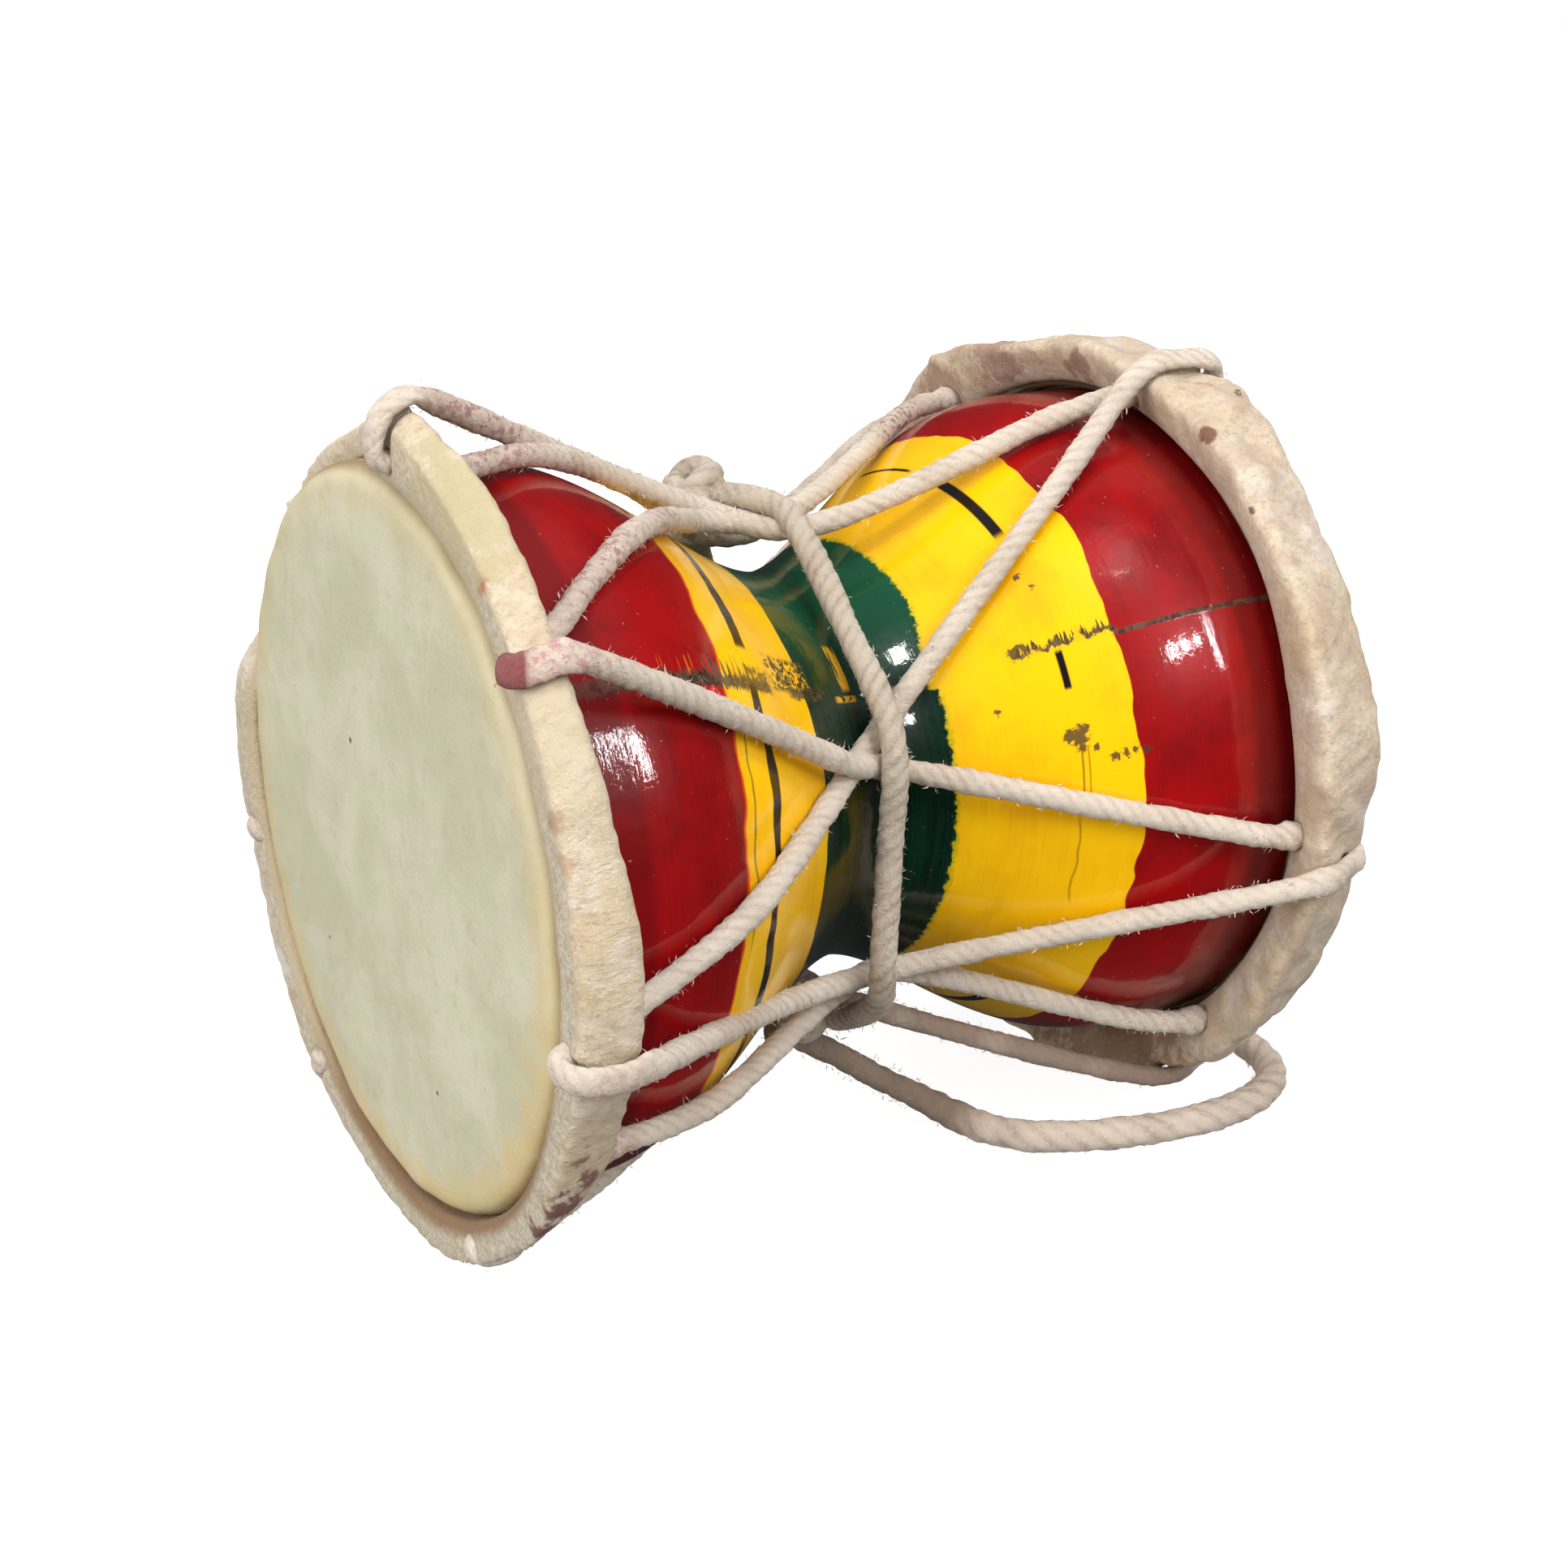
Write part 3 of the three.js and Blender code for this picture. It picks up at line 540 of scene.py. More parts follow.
# Each strand: its end on the left hoop, points at the waist (x, radius, angle), its right end.
# An end under the hoop has an angle; an end over it has its own, its partner's and a depth.
strands = [
    ((51.8, 46, 0.4, "stub"), [(-5.2, 22.0, 71.4), (-2, 20.4, 72.8)], (94,)),
    ((94.6,), [(-4.5, 20.2, 71.8), (-0.5, 19.9, 62.9)], (18, 15, 0.5)),
    ((99.6, 94.6, 0.4), [(-1.0, 22.8, 128)], (98.5, 94, 1.2)),
    ((118.5,), [(-4, 22.7, 134.5), (0, 22.0, 132)], (136,)),
    ((46,), [(-6, 23.6, -8), (0, 23.2, -4)], (-34,)),
    ((10, 14, 0.4), [(-5.5, 24.6, -11), (0, 23.2, 6)], (15,)),
    ((155, 161, 1.5), [(-2, 22.4, 178), (2, 21.6, 188)], (213, 207, 1.0)),
    ((208,), [(-2.5, 20.4, 185), (0.5, 22.9, 150)], (150, 137, 0.8)),
    ((215, 208, 1.4), [(-2, 21.8, 236), (2, 21.2, 238)], (250,)),
    ((248,), [(-2, 19.9, 239), (2, 19.9, 235)], (207,)),
    ((254.5, 248, 1.4), [(-2, 21.8, 279), (2, 21.2, 280)], (287,)),
    ((307,), [(-2, 19.9, 282), (2, 19.9, 277)], (256, 250, 0.8)),
    ((313, 307, 1.3), [(-3, 22.6, 334), (1.5, 22.0, 338)], (308, 325, 0.9)),
    ((14,), [(-5, 23.8, -22), (5, 21.6, 300)], (293, 287, 0.8)),
]


def end_points(side, end):
    """Points of a strand's end, from inside the hoop, where it turns back, to where it leaves."""
    tunnel = 34.3
    face_x, face_r, back_x, back_r = hoop_shapes[side](end[0])
    if len(end) == 1:
        inside = round_at(side * (face_x - 1.4), tunnel, end[0])
        return [inside, round_at(side * (back_x - 0.6), tunnel - 0.2, end[0])]
    angle, partner, depth = end[:3]
    start = partner + ((angle - partner + 540) % 360 - 180) * 0.8
    points = [
        round_at(side * (face_x - 1.6), tunnel, partner),
        round_at(side * (face_x - 1.2), tunnel, start),
        round_at(side * (face_x + 1.2 - depth), tunnel + 0.8, angle),
        round_at(side * (face_x + 0.6 - depth), face_r + 1.1 - depth, angle),
        round_at(side * ((face_x + back_x) / 2 - 0.6), (face_r + back_r) / 2 + 1.95 - depth, angle),
        round_at(side * (back_x + 0.4), back_r + 1.5 - depth, angle),
    ]
    if len(end) == 4:
        points[2] = round_at(side * 40.9, tunnel + 1.6, angle - 1.6)
        return points[2:]
    return points


def taut(start, end, pieces=5):
    """Points of a taut cord between two points, lying on the wood where the wood is in the way."""
    line = [start.lerp(end, i / pieces) for i in range(pieces + 1)]
    for _ in range(300):
        for i in range(1, pieces):
            line[i] = (line[i - 1] + line[i + 1]) / 2
            radius = math.hypot(line[i].y, line[i].z)
            clear = wood_radius(line[i].x) + lace_radius + 0.4
            if radius < clear:
                line[i].y *= clear / radius
                line[i].z *= clear / radius
    kept = []
    for i in range(1, pieces):
        before = (line[i] - (kept[-1] if kept else start)).normalized()
        if before.angle((line[i + 1] - line[i]).normalized()) > math.radians(3.5):
            kept.append(line[i])
    return kept


strand_routes = []
for near, waist, far in strands:
    left, right = end_points(-1, near), end_points(1, far)
    crossing = [round_at(*spot) for spot in waist]
    points = left + taut(left[-1], crossing[0]) + crossing + taut(crossing[-1], right[-1]) + right[::-1]
    strand_routes.append(path_through(points, 0.3))

lace_points = [p for route in strand_routes for p in route if abs(p.x) > 29]
lace_tree = kdtree.KDTree(len(lace_points))
for i, p in enumerate(lace_points):
    lace_tree.insert(p, i)
lace_tree.balance()

hoop_material, w, shader = new_material(
    "hoop_hide", Roughness=0.78, Specular_IOR_Level=0.3, Sheen_Weight=0.12,
)
place = w.call(drum_place)
look = w.call(
    hide_look, Light=(*linear(228, 212, 188), 1), Middle=(*linear(212, 192, 160), 1),
    Dark=(*linear(172, 142, 104), 1), Wrinkles=0.8,
)
chalky = w.fade(w.noise(place["Point"], 0.2, 4.0, 0.65, 0.5), 0.5, 0.66, 0.0, 0.7)
color = w.mix(chalky, look["Color"], linear(226, 214, 202))
fibrous = w.noise(w.vector("MULTIPLY", place["Point"], (0.5, 1.0, 1.0)), 2.0, 5.0, 0.8)
color = w.mix(w.fade(fibrous, 0.48, 0.66, 0.0, 0.45), color, linear(166, 134, 96))
# The far hoop has been handled more: pinkish brown, with the pale hide left in patches
patches = w.fade(w.noise(place["Point"], 0.22, 5.0, 0.7, 0.4), 0.4, 0.62, 0.42, 0.0)
handled = both(w.fade(place["Along"], 0.0, 5.0), patches)
color = w.mix(handled, color, linear(186, 146, 120))
# The left hoop's face is a rough, greyer strip beside the head. Inside the hoop is painted shade,
# darker lower down
near_face = w.fade(place["Along"], -39.1, -39.35)
strip = w.mix(w.fade(fibrous, 0.42, 0.58), linear(182, 168, 138), linear(220, 208, 186))
color = w.mix(both(near_face, w.fade(place["Radius"], 36.0, 36.3, 0.85, 0.0)), color, strip)
# Painted shade inside the left hoop, deepest near the bottom
from_lowest = w.math("MULTIPLY", w.math("SUBTRACT", place["Angle"], 162.0), math.pi / 180)
shade_lower_down = w.fade(w.math("COSINE", from_lowest), 0.4, 0.85)
inside = both(w.fade(place["Radius"], 33.2, 34.6, 0.9, 0.0), w.fade(place["Along"], -37.5, -36.5, 1.0, 0.0))
color = w.mix(inside, color, w.mix(shade_lower_down, linear(200, 180, 146), linear(140, 104, 66)))
stain_noise = w.noise(place["Point"], 0.45, 4.0, 0.7)
rust, dried, skin_pink = linear(196, 138, 104), linear(122, 66, 54), linear(200, 140, 112)
stains_and_shade = (
    (round_at(-38.2, 37.5, 114), 1.7, dried, 0.8), (round_at(-37.6, 37.6, 119.5), 2.4, dried, 0.9),
    (round_at(-38.2, 37.5, 125), 2.6, dried, 0.9), (round_at(-38.9, 37.2, 130), 2.4, dried, 0.9),
    (round_at(-37.6, 37.0, 136), 2.4, dried, 0.85), (round_at(-36.6, 36.6, 146), 2.6, dried, 0.5),
    (round_at(-37.8, 37.2, 158.6), 1.4, linear(86, 80, 78), 0.9),
    (round_at(-38.7, 37.2, 110), 0.6, linear(110, 66, 50), 0.9),
    (round_at(-39.8, 36.0, 39.5), 1.2, linear(176, 96, 50), 0.7),
    (round_at(-39.6, 36.2, 69), 1.1, linear(170, 80, 48), 0.85),
    (round_at(-39.8, 36.6, 74), 1.2, rust, 0.5), (round_at(-35.3, 37.8, 21), 2.0, skin_pink, 0.6),
    (round_at(-38.9, 36.0, -128), 2.2, linear(232, 226, 218), 0.8),
    (round_at(32.1, 37.0, 33), 0.8, linear(120, 78, 54), 0.9),
    (round_at(31.7, 37.0, 46), 0.7, linear(120, 80, 55), 0.9),
    (round_at(38.6, 37.2, 27), 1.0, linear(66, 44, 36), 0.9), (round_at(36.5, 37.2, 24), 1.4, rust, 0.6),
    (round_at(33.0, 36.0, -20), 4.5, linear(150, 100, 88), 0.55),
    (round_at(33.0, 36.5, -34), 4.0, linear(160, 112, 100), 0.5),
    (round_at(32.5, 34.5, 2), 2.6, linear(120, 74, 62), 0.6),
    # Painted shade: a wide brown patch on the far hoop's underside
    (round_at(35.0, 37.0, 160), 14.0, linear(160, 116, 78), 0.7),
    # Painted shade: two wide tan patches that darken the lit top of the left hoop
    (round_at(-38.0, 37.4, 28), 9.0, linear(200, 184, 144), 0.85),
    (round_at(-37.5, 37.4, 60), 11.0, linear(206, 188, 156), 0.7),
)
for centre, size, tint, strength in stains_and_shade:
    away = w.distance(place["Point"], centre)
    away = w.math("ADD", away, w.fade(stain_noise, 0.3, 0.7, -0.45 * size, 0.45 * size))
    color = w.mix(w.fade(away, size * 0.5, size * 0.95, strength, 0.0), color, tint)
w.join(color, shader.inputs["Base Color"])
rough = w.math("ADD", look["Height"], w.math("MULTIPLY", fibrous, 1.3))
w.join(w.bump(rough, 0.0003, 0.8), shader.inputs["Normal"])

for side, name in ((-1, "left_hoop"), (1, "right_hoop")):
    mesh = bmesh.new()
    around, across = 600, 56
    made = bmesh.ops.create_grid(mesh, x_segments=around, y_segments=across, size=0.5)["verts"]
    sections = {}
    for vert in made:
        i = round((vert.co.x + 0.5) * around) % around
        j = round((vert.co.y + 0.5) * across) % across
        angle = 360 * i / around
        if i not in sections:
            ring = [Vector((x, radius, 0)) for x, radius in hoop_section(hoop_shapes[side](angle))]
            smooth = path_through(ring, 0.1, closed=True)
            core = sum(smooth, Vector()) / len(smooth)
            sections[i] = [smooth[int(len(smooth) * k / across)] for k in range(across)], core
        ring, core = sections[i]
        spot = ring[j]
        out = (spot - core).normalized()
        a = math.radians(angle)
        seed = Vector((math.cos(a) * 37, math.sin(a) * 37, side * 50))
        pleat = abs(noise.noise(Vector((a * 37 / 2.1 + spot.x * 0.25, spot.x * 0.12, side * 9))))
        swell = noise.noise(seed * 0.16 + Vector((spot.x, spot.y, 0)) * 0.1)
        grit = noise.noise(seed * 0.9 + Vector((spot.x, spot.y, 0)) * 0.8)
        lift = 0.24 * swell - 0.26 * pleat * max(0, out.y + 0.4) + 0.1 * grit + 0.04
        if side > 0:
            folds = noise.noise(seed * 0.33 + Vector((spot.x, spot.y, 5)) * 0.3)
            lift += 0.7 * folds * max(0, out.y + 0.3)
        if spot.y < 33.6:
            lift = min(lift, 0)
        spot = spot + out * lift
        p = round_at(side * spot.x, spot.y, angle)
        overlap = lace_radius + 0.25 - lace_tree.find(p)[2]
        if overlap > 0:
            p = p + (round_at(side * core.x, core.y, angle) - p).normalized() * overlap
        p.z = max(p.z, table_z)
        vert.co = at(*p)
    for face in mesh.faces:
        face.smooth = True
    bmesh.ops.remove_doubles(mesh, verts=mesh.verts, dist=0.000001)
    finished(name + "_visual", mesh, "hoop_hide", hoop_material, name)


# Lacing: one white cotton cord in 14 strands from hoop to hoop. Red lacquer has rubbed off on it
# near the hoops, and its loose end, dipped in lacquer, lies as a stub on the left hoop.
plies = 4


def twisted_cord(
    mesh, route, radius, pitch, sides=18, closed=False,
    round_ends=(False, False), width=None, pressed=None,
):
    """Adds a laid cord along route, in millimetres: soft plies wound round each other. width gives
    its thickness by the share of its length, pressed which way it is flattened, and how much."""
    uv = mesh.loops.layers.uv.verify()
    count = len(route)
    rows = count + 1 if closed else count
    made = bmesh.ops.create_grid(mesh, x_segments=rows - 1, y_segments=sides, size=0.5)["verts"]
    step = (route[1] - route[0]).length
    length = step * (rows - 1)
    turns = round(length / pitch) / length if closed else 1 / pitch
    normals = []
    normal = None
    for i, point in enumerate(route):
        before = route[i - 1] if closed or i > 0 else point
        after = route[(i + 1) % count] if closed or i + 1 < count else point
        tangent = (after - before).normalized()
        if closed:
            normal = Vector((1, 0, 0))
        elif normal is None:
            normal = Vector((0, 0, 1)) if abs(tangent.z) < 0.8 else Vector((0, 1, 0))
        normal = (normal - tangent * normal.dot(tangent)).normalized()
        normals.append((normal, tangent.cross(normal)))
    presses = [pressed(point) for point in route] if pressed else None
    place = {}
    for vert in made:
        i = round((vert.co.x + 0.5) * (rows - 1))
        j = round((vert.co.y + 0.5) * sides)
        along = step * i
        angle = 2 * math.pi * j / sides
        ply = abs(math.cos(plies * (angle / 2 - math.pi * along * turns)))
        wide = radius * (0.955 + 0.045 * ply)
        if width:
            wide *= width(along / length)
        for wanted, distance in zip(round_ends, (along, length - along)):
            if wanted:
                wide *= math.sqrt(max(0.02, 1 - max(0, 1 - distance / (radius * 0.9)) ** 2))
        a, b = normals[i % count]
        lump = 1 + 0.11 * noise.noise(Vector((along * 0.45, radius * 7, route[0].x)))
        spot = Vector((along * 1.4, math.cos(angle) * 1.3, math.sin(angle) * 1.3 + route[0].y))
        lump += 0.1 * noise.noise(spot)
        offset = (a * math.cos(angle) + b * math.sin(angle)) * wide * lump
        if pressed:
            press_way, amount = presses[i]
            through = press_way * offset.dot(press_way)
            offset = through * (1 - 0.35 * amount) + (offset - through) * (1 + 0.3 * amount)
        vert.co = at(*(route[i % count] + offset))
        place[vert] = (along, j / sides - along * turns)
    for face in {face for vert in made for face in vert.link_faces}:
        face.smooth = True
        for loop in face.loops:
            loop[uv].uv = place[loop.vert]
    if not closed:
        # A flat cap at each end; the grid's last row of points doubles its first
        rims = [vert for vert in made if place[vert][0] in (0.0, step * (rows - 1))]
        for end in (0.0, step * (rows - 1)):
            ring = [vert for vert in rims if place[vert][0] == end]
            bmesh.ops.contextual_create(mesh, geom=ring[:-1])
    bmesh.ops.remove_doubles(mesh, verts=made, dist=1e-7)


def fuzz(mesh, route, radius, per_mm, seed, longest=0.75):
    """Adds loose fibres along a cord: thin slivers that stand off it, each bent once."""
    half_width = 0.021
    uv = mesh.loops.layers.uv.verify()
    chance = random.Random(seed)
    step = (route[1] - route[0]).length
    for _ in range(int(per_mm * step * len(route) * (1))):
        i = chance.randrange(1, len(route) - 1)
        tangent = (route[i + 1] - route[i - 1]).normalized()
        side = tangent.orthogonal().normalized()
        out = Matrix.Rotation(chance.uniform(0, 2 * math.pi), 3, tangent) @ side
        size = chance.uniform(0.3, 1.0) ** 2 * longest
        way = (tangent * chance.uniform(-1, 1) + out * chance.uniform(0.25, 0.9)).normalized()
        root = route[i] + out * radius * 0.93
        bend = root + way * size * 0.55
        bent_way = way + tangent * chance.uniform(-0.7, 0.7) + out * chance.uniform(-0.5, 0.3)
        tip = bend + bent_way * size * 0.5
        across = way.cross(out).normalized() * half_width
        outline = (root - across, root + across, bend + across, tip, bend - across)
        face = mesh.faces.new([mesh.verts.new(at(*p)) for p in outline])
        for loop in face.loops:
            loop[uv].uv = (step * i, 0.0)


# Twisted cotton: painted shade in the grooves between the plies, fibres along them, and slow changes of
# tone.
cotton_look, w, taken, given = node_group(
    "cotton_look", {"Light": "Color", "Dark": "Color"}, {"Color": "Color", "Height": "Float"},
)
lay = w.add("ShaderNodeSeparateXYZ", {0: w.add("ShaderNodeUVMap").outputs[0]}).outputs
turn = w.math("MULTIPLY", w.math("MULTIPLY", lay[1], math.pi), plies)
drawn_out = {0: w.math("MULTIPLY", lay[0], 0.55), 1: w.math("MULTIPLY", lay[1], 16.0)}
fibres = w.noise(w.add("ShaderNodeCombineXYZ", drawn_out).outputs[0], 3.2, 6.0, 0.75, 0.6)
place = w.call(drum_place)
tufts = w.noise(place["Point"], 2.6, 4.0, 0.7)
shade = w.noise(place["Point"], 0.16, 2.0)
turn = w.math("ADD", turn, w.fade(tufts, 0.3, 0.7, -0.5, 0.5))
ply = w.math("POWER", w.math("ABSOLUTE", w.math("COSINE", turn)), 0.8)
broken = w.fade(w.noise(place["Point"], 0.35, 3.0, 0.6), 0.35, 0.65, 0.15, 0.6)
# Painted shade: the grooves between the plies are darker
groove_shade = w.math("MULTIPLY", w.math("SUBTRACT", 1.0, ply), broken)
depth = w.math("ADD", groove_shade, w.fade(fibres, 0.55, 0.3, 0.0, 0.3), clamp=True)
groove_shade_and_tone = w.math("ADD", depth, w.fade(shade, 0.35, 0.75, -0.12, 0.28), clamp=True)
tinted = w.mix(groove_shade_and_tone, taken["Light"], taken["Dark"])
w.join(w.mix(w.fade(tufts, 0.45, 0.8, 0.0, 0.4), tinted, taken["Light"]), given["Color"])
fine = w.math("ADD", fibres, w.math("MULTIPLY", tufts, 2.2))
w.join(w.math("ADD", w.math("MULTIPLY", ply, 0.3), fine), given["Height"])


def cotton(name, light, dark, stains_and_shade=()):
    """Twisted cotton material. Each stain or patch of painted shade is a point, a radius in mm, a colour
    and a strength; one stronger than 1 is mixed in evenly, as painted shade or the lacquer of the
    dipped end, the others are specks."""
    material, w, shader = new_material(
        name, Roughness=0.92, Specular_IOR_Level=0.15, Sheen_Weight=0.25, Sheen_Roughness=0.6,
    )
    look = w.call(cotton_look, Light=(*light, 1), Dark=(*dark, 1))
    color = look["Color"]
    place = w.call(drum_place)
    spotted = w.fade(w.noise(place["Point"], 1.3, 4.0, 0.7), 0.5, 0.6)
    for centre, size, tint, strength in stains_and_shade:
        near = w.fade(w.distance(place["Point"], centre), size * 0.3, size, strength, 0.0)
        if strength <= 1:
            near = w.math("MULTIPLY", near, w.math("ADD", 0.22, w.math("MULTIPLY", spotted, 0.7)))
        color = w.mix(w.math("MINIMUM", near, 0.9), color, tint)
    w.join(color, shader.inputs["Base Color"])
    w.join(w.bump(look["Height"], 0.0003, 0.85), shader.inputs["Normal"])
    return material


blush, lac = linear(206, 120, 122), linear(138, 4, 12)
shaded = linear(176, 146, 124)
white_cotton = cotton(
    "white_cotton", linear(250, 234, 214), linear(198, 166, 136),
    stains_and_shade=(
        (round_at(-38.0, 37.5, 50), 9.0, blush, 0.7),
        (round_at(-28.0, 34.0, 36), 10.0, linear(176, 70, 74), 0.75),
        (round_at(-18.0, 30.0, 16), 8.0, linear(160, 60, 62), 0.8),
        (round_at(-31.0, 37.0, 6), 11.0, linear(176, 84, 88), 0.8),
        (round_at(-37.0, 37.5, 103), 5.0, blush, 0.6),
        (round_at(-31.0, 36.0, 107), 4.0, lac, 0.7),
        (round_at(-34.0, 36.0, 118), 4.0, blush, 0.8),
        (round_at(-40.9, 35.9, 51.0), 3.4, lac, 4.5),
        (round_at(22.0, 30.0, -28), 9.0, linear(150, 96, 84), 1.0),
        (round_at(0.5, 22.9, 152), 7.0, shaded, 1.2), (round_at(9.0, 26.5, 150), 8.0, shaded, 1.2),
        (round_at(19.0, 31.5, 150), 9.0, shaded, 1.2), (round_at(30.0, 36.5, 150), 9.0, shaded, 1.2),
        (round_at(-1.5, 24.4, 142), 4.0, shaded, 1.2),
    ),
)


def pressed_on_hoop(p):
    """Which way the hoop presses on the cord at p, and how much."""
    angle = math.degrees(math.atan2(-p.y, p.z))
    face_x, face_r, back_x, back_r = hoop_shapes[1 if p.x > 0 else -1](angle)
    along = abs(p.x) - (face_x + back_x) / 2
    out = math.hypot(p.y, p.z) - (face_r + back_r) / 4 - 16.5
    outside = max(abs(along) / (face_x - back_x) * 2, out * 4 / (face_r + back_r - 66))
    amount = min(1, max(0, (outside - 0.7) * 4)) * min(1, max(0, (abs(p.x) - back_x + 1.5) / 1.5))
    return round_at(along * (1 if p.x > 0 else -1), out, angle).normalized(), amount


lacing_mesh = bmesh.new()
for i, route in enumerate(strand_routes):
    twisted_cord(
        lacing_mesh, route, lace_radius * 0.93, 5.6 + 0.3 * math.sin(i * 2.3), sides=16,
        round_ends=(i == 0, False), pressed=pressed_on_hoop,
    )
    fuzz(lacing_mesh, route, lace_radius * 0.95, per_mm=9, seed=i)
finished("lacing_visual", lacing_mesh, "white_cotton", white_cotton, "lacing")


# Waist cord: a second cotton cord bound once round the neck over the crossings. It is knotted at
# the top, and underneath the striker is hitched to it.
def knot(mesh, centre, size, thickness, turns, pitch, sides=16):
    """A pulled-tight knot: turns of the cord drawn into one another."""
    for i in range(turns):
        lean = Matrix.Rotation(0.5 + 0.9 * i, 3, "Y")
        swing = Matrix.Rotation(math.pi * i / turns + 0.3, 3, "Z")
        loop = [
            centre + swing @ (lean @ Vector((0, size * math.cos(t), size * math.sin(t))))
            for t in (2 * math.pi * j / 8 for j in range(8))
        ]
        across = swing @ (lean @ Vector((1, 0, 0)))
        closed_cord(mesh, path_through(loop, 0.28, closed=True), across, thickness, pitch, sides)


def closed_cord(mesh, route, across, radius, pitch, sides):
    """A laid cord that closes on itself, round the direction across."""
    side = across.orthogonal().normalized()
    turned = Matrix((across, side, across.cross(side)))
    flat = [turned @ p for p in route]
    before = set(mesh.verts)
    twisted_cord(mesh, flat, radius, pitch, sides, closed=True)
    back = turned.transposed()
    for vert in set(mesh.verts) - before:
        vert.co = at(*(back @ ((vert.co - middle) * 1000)))


waist_ring = [
    (-3.6, 25.6, -16), (-1.6, 25.2, -6), (-0.5, 24.6, 3), (-0.6, 23.2, 12), (-1.4, 21.3, 36),
    (-1.9, 23.0, 67), (-2.0, 21.2, 94), (-3.3, 25.0, 117), (-2.0, 25.4, 128), (-1.0, 24.6, 140),
    (-0.5, 24.0, 154), (0, 23.4, 180), (0, 24.3, 204), (0, 24.3, 237), (0, 22.6, 258),
    (0, 24.2, 279), (0, 23.0, 300), (-1, 24.2, 318), (-3.2, 25.4, 334),
]
waist_mesh = bmesh.new()
waist_route = path_through([round_at(*spot) for spot in waist_ring], 0.3, closed=True)
waist_radius = 1.2
twisted_cord(waist_mesh, waist_route, waist_radius, pitch=5.4, closed=True)
fuzz(waist_mesh, waist_route, waist_radius, per_mm=11, seed=21)
for centre, size, turns in ((round_at(-4.4, 26.6, -17), 1.9, 3), (Vector((-2.6, -8.6, -21.8)), 1.2, 2)):
    knot(waist_mesh, centre, size, waist_radius, turns, pitch=5.0, sides=14)
waist_cotton = cotton("waist_cotton", linear(232, 216, 194), linear(140, 112, 84))
finished("waist_cord_visual", waist_mesh, "white_cotton", waist_cotton, "waist_cord")


# Striker cord: a thick, softly twisted cotton cord that hangs from the waist cord, lies on the
# table and curls round the right head, as long as from the waist to a head. It ends in a knot.
striker_radius = 1.55
lying = table_z + striker_radius + 0.06
striker_points = [
    (-6.0, -8.0, -22.4), (-4.2, -8.2, -23.2), (-1.5, -8.5, -24.9), (0.4, -9.0, -26.1),
    (4.7, -9.5, -29.4), (9.1, -10.1, -32.4),
    (12.2, -12.0, -34.5), (14.0, -15.4, lying), (16.2, -18.4, lying), (19.6, -20.7, lying),
    (24.2, -22.7, lying), (29.2, -24.1, lying), (35.0, -24.7, lying), (40.2, -24.0, lying),
    (44.2, -22.0, lying), (46.7, -18.6, lying), (47.6, -14.4, lying), (47.2, -10.2, lying),
    (46.2, -6.4, lying), (45.0, -2.8, lying),
]
# Painted shade on the part of the striker that hangs under the drum
hanging_shade = linear(158, 132, 110)
tan_cotton = cotton(
    "tan_cotton", linear(242, 222, 202), linear(166, 134, 106),
    stains_and_shade=[(Vector(p), 7.0, hanging_shade, 1.3) for p in ((-3, -8.3, -24), (3, -9.3, -28), (9, -10.1, -32.4))],
)
striker_route = path_through([Vector(p) for p in striker_points], 0.28)
striker_mesh = bmesh.new()
twisted_cord(
    striker_mesh, striker_route, striker_radius, pitch=9.5, sides=26,
    width=lambda t: 0.78 + 0.2 * min(1, max(0, (t - 0.2) / 0.1)),
)
fuzz(striker_mesh, striker_route, striker_radius * 0.95, per_mm=14, seed=3)
striker = finished("striker_cord_visual", striker_mesh, "tan_cotton", tan_cotton, "striker_cord")


# Striker knot: the end of the same cord drawn into a tight knot. When the drum is swung to and
# fro, the cord flies round and the knot strikes the heads. It lies beside the right one here.
knot_mesh = bmesh.new()
knot(
    knot_mesh, Vector((43.9, 1.3, table_z + 3.16)),
    size=1.95, thickness=striker_radius, turns=3, pitch=6.0,
)
striker_knot = finished("striker_knot_visual", knot_mesh, "tan_cotton", tan_cotton, "striker_knot")


# Light: a photographer's white surroundings. Windows give the glints on the lacquer, and soft
# light from the left falls on the head. The table is white and shows only a faint shadow.
world = bpy.data.worlds.new("surroundings")
scene.world = world
world.use_nodes = True
w = Wiring(world.node_tree)
world.node_tree.nodes.clear()
height = w.add("ShaderNodeSeparateXYZ", {0: w.add("ShaderNodeTexCoord").outputs["Generated"]}).outputs[2]
paths = w.add("ShaderNodeLightPath").outputs
around = w.fade(height, -0.5, 0.9, 0.34, 0.66)
mirrored = w.fade(height, 0.6, 0.95, 0.03, 0.3)
glow = w.add("ShaderNodeMix", {0: paths["Is Glossy Ray"], 2: around, 3: mirrored}).outputs[0]
lit = w.add("ShaderNodeBackground", {"Color": (0.97, 0.98, 1.0, 1), "Strength": glow}).outputs[0]
white = w.add("ShaderNodeBackground", {"Color": (1, 1, 1, 1), "Strength": 1.0}).outputs[0]
shown = w.add("ShaderNodeMixShader", {0: paths["Is Camera Ray"], 1: lit, 2: white}).outputs[0]
w.add("ShaderNodeOutputWorld", {"Surface": shown})
scene.view_settings.view_transform = "Standard"


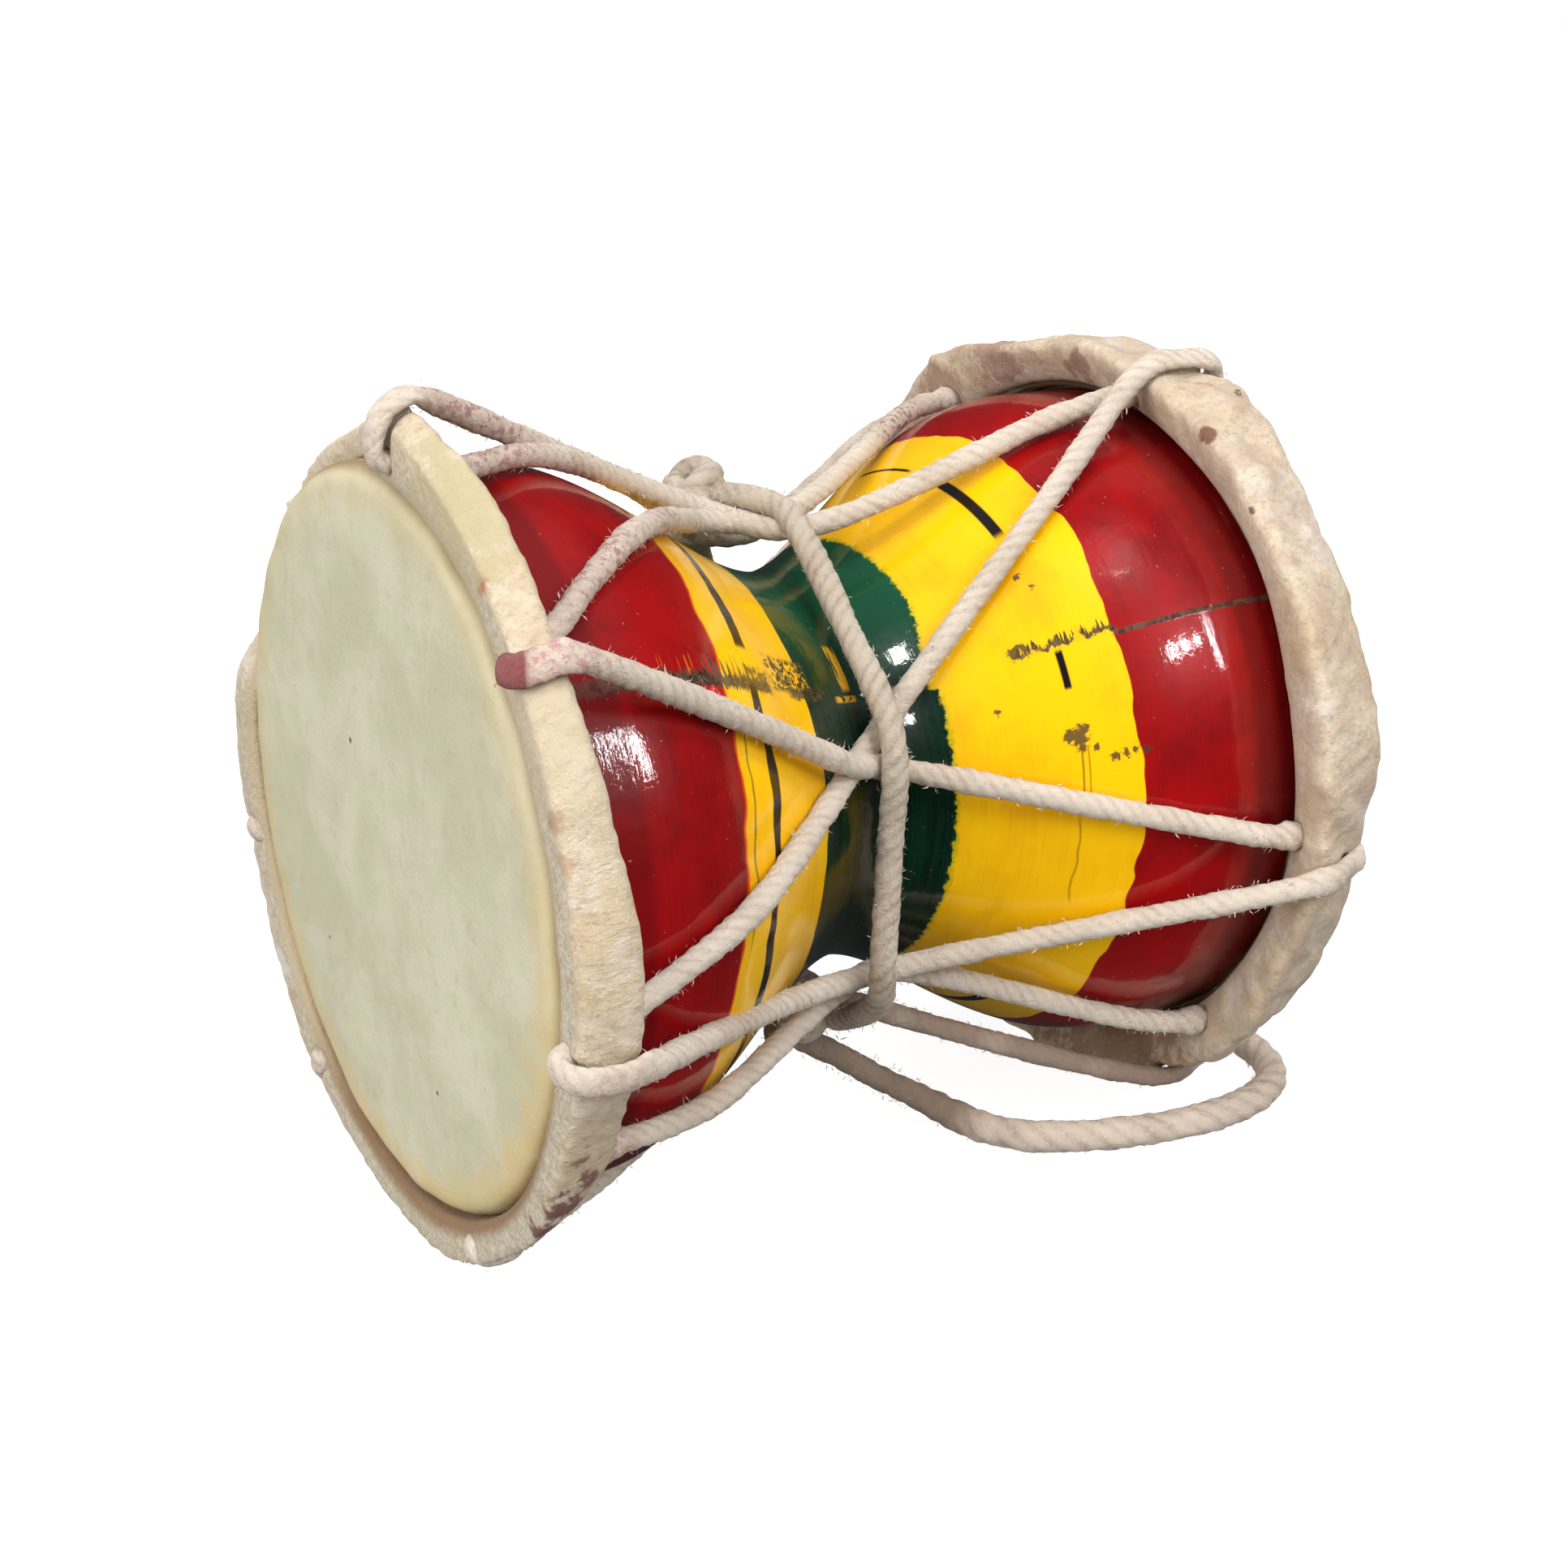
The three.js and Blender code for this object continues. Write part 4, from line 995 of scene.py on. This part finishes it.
def lamp(name, way, distance, wide, tall, power, lights, glints):
    """An area light facing the drum, which lights it, is seen mirrored in it, or both."""
    light = bpy.data.lights.new(name, "AREA")
    light.shape = "RECTANGLE"
    light.size, light.size_y, light.energy = wide, tall, power
    made = bpy.data.objects.new(name, light)
    scene.collection.objects.link(made)
    direction = Vector(way).normalized()
    facing = direction.to_track_quat("Z", "Y").to_matrix().to_4x4()
    made.matrix_world = Matrix.Translation(middle + direction * distance) @ facing
    made.visible_diffuse, made.visible_glossy = lights, glints


lamp("front_soft", (0.1, -0.8, 0.6), 0.8, 0.5, 0.4, 3.4, True, False)
lamp("left_soft", (-0.93, -0.25, 0.35), 0.7, 0.4, 0.5, 3.6, True, False)
lamp("top_soft", (-0.13, -0.40, 0.90), 0.7, 0.14, 0.12, 1.5, True, False)
lamp("back_soft", (0.25, 0.80, 0.55), 0.7, 0.6, 0.4, 0.8, True, False)
# Panes of windows and a lamp, seen only as glints on the lacquer
for i, (way, wide, tall, glow) in enumerate((
    ((0.4265, -0.757, 0.50), 0.008, 0.20, 150), ((0.4425, -0.745, 0.503), 0.006, 0.13, 120),
    ((0.0, -0.85, 0.535), 0.05, 0.07, 60), ((0.12, -0.83, 0.55), 0.05, 0.06, 60),
    ((0.25, -0.80, 0.55), 0.05, 0.055, 60), ((0.657, -0.429, 0.62), 0.022, 0.022, 60),
    ((-0.07, -0.40, 0.91), 0.10, 0.10, 60),
)):
    lamp(f"pane_{i}", way, 0.75, wide, tall, glow * wide * tall * math.pi, False, True)

table_mesh = bmesh.new()
bmesh.ops.create_grid(table_mesh, x_segments=1, y_segments=1, size=3.0)
table_data = bpy.data.meshes.new("table")
table_mesh.to_mesh(table_data)
table_mesh.free()
table = bpy.data.objects.new("table", table_data)
scene.collection.objects.link(table)
gap = 0.0002
table.location.z = -gap
table.visible_diffuse = table.visible_glossy = False
table_look, w, shader = new_material(
    "table", Base_Color=(0.3, 0.3, 0.3, 1), Roughness=1.0, Specular_IOR_Level=0.0,
    Emission_Color=(1, 1, 1, 1), Emission_Strength=0.93,
)
table_data.materials.append(table_look)
table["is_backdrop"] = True

low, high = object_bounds()
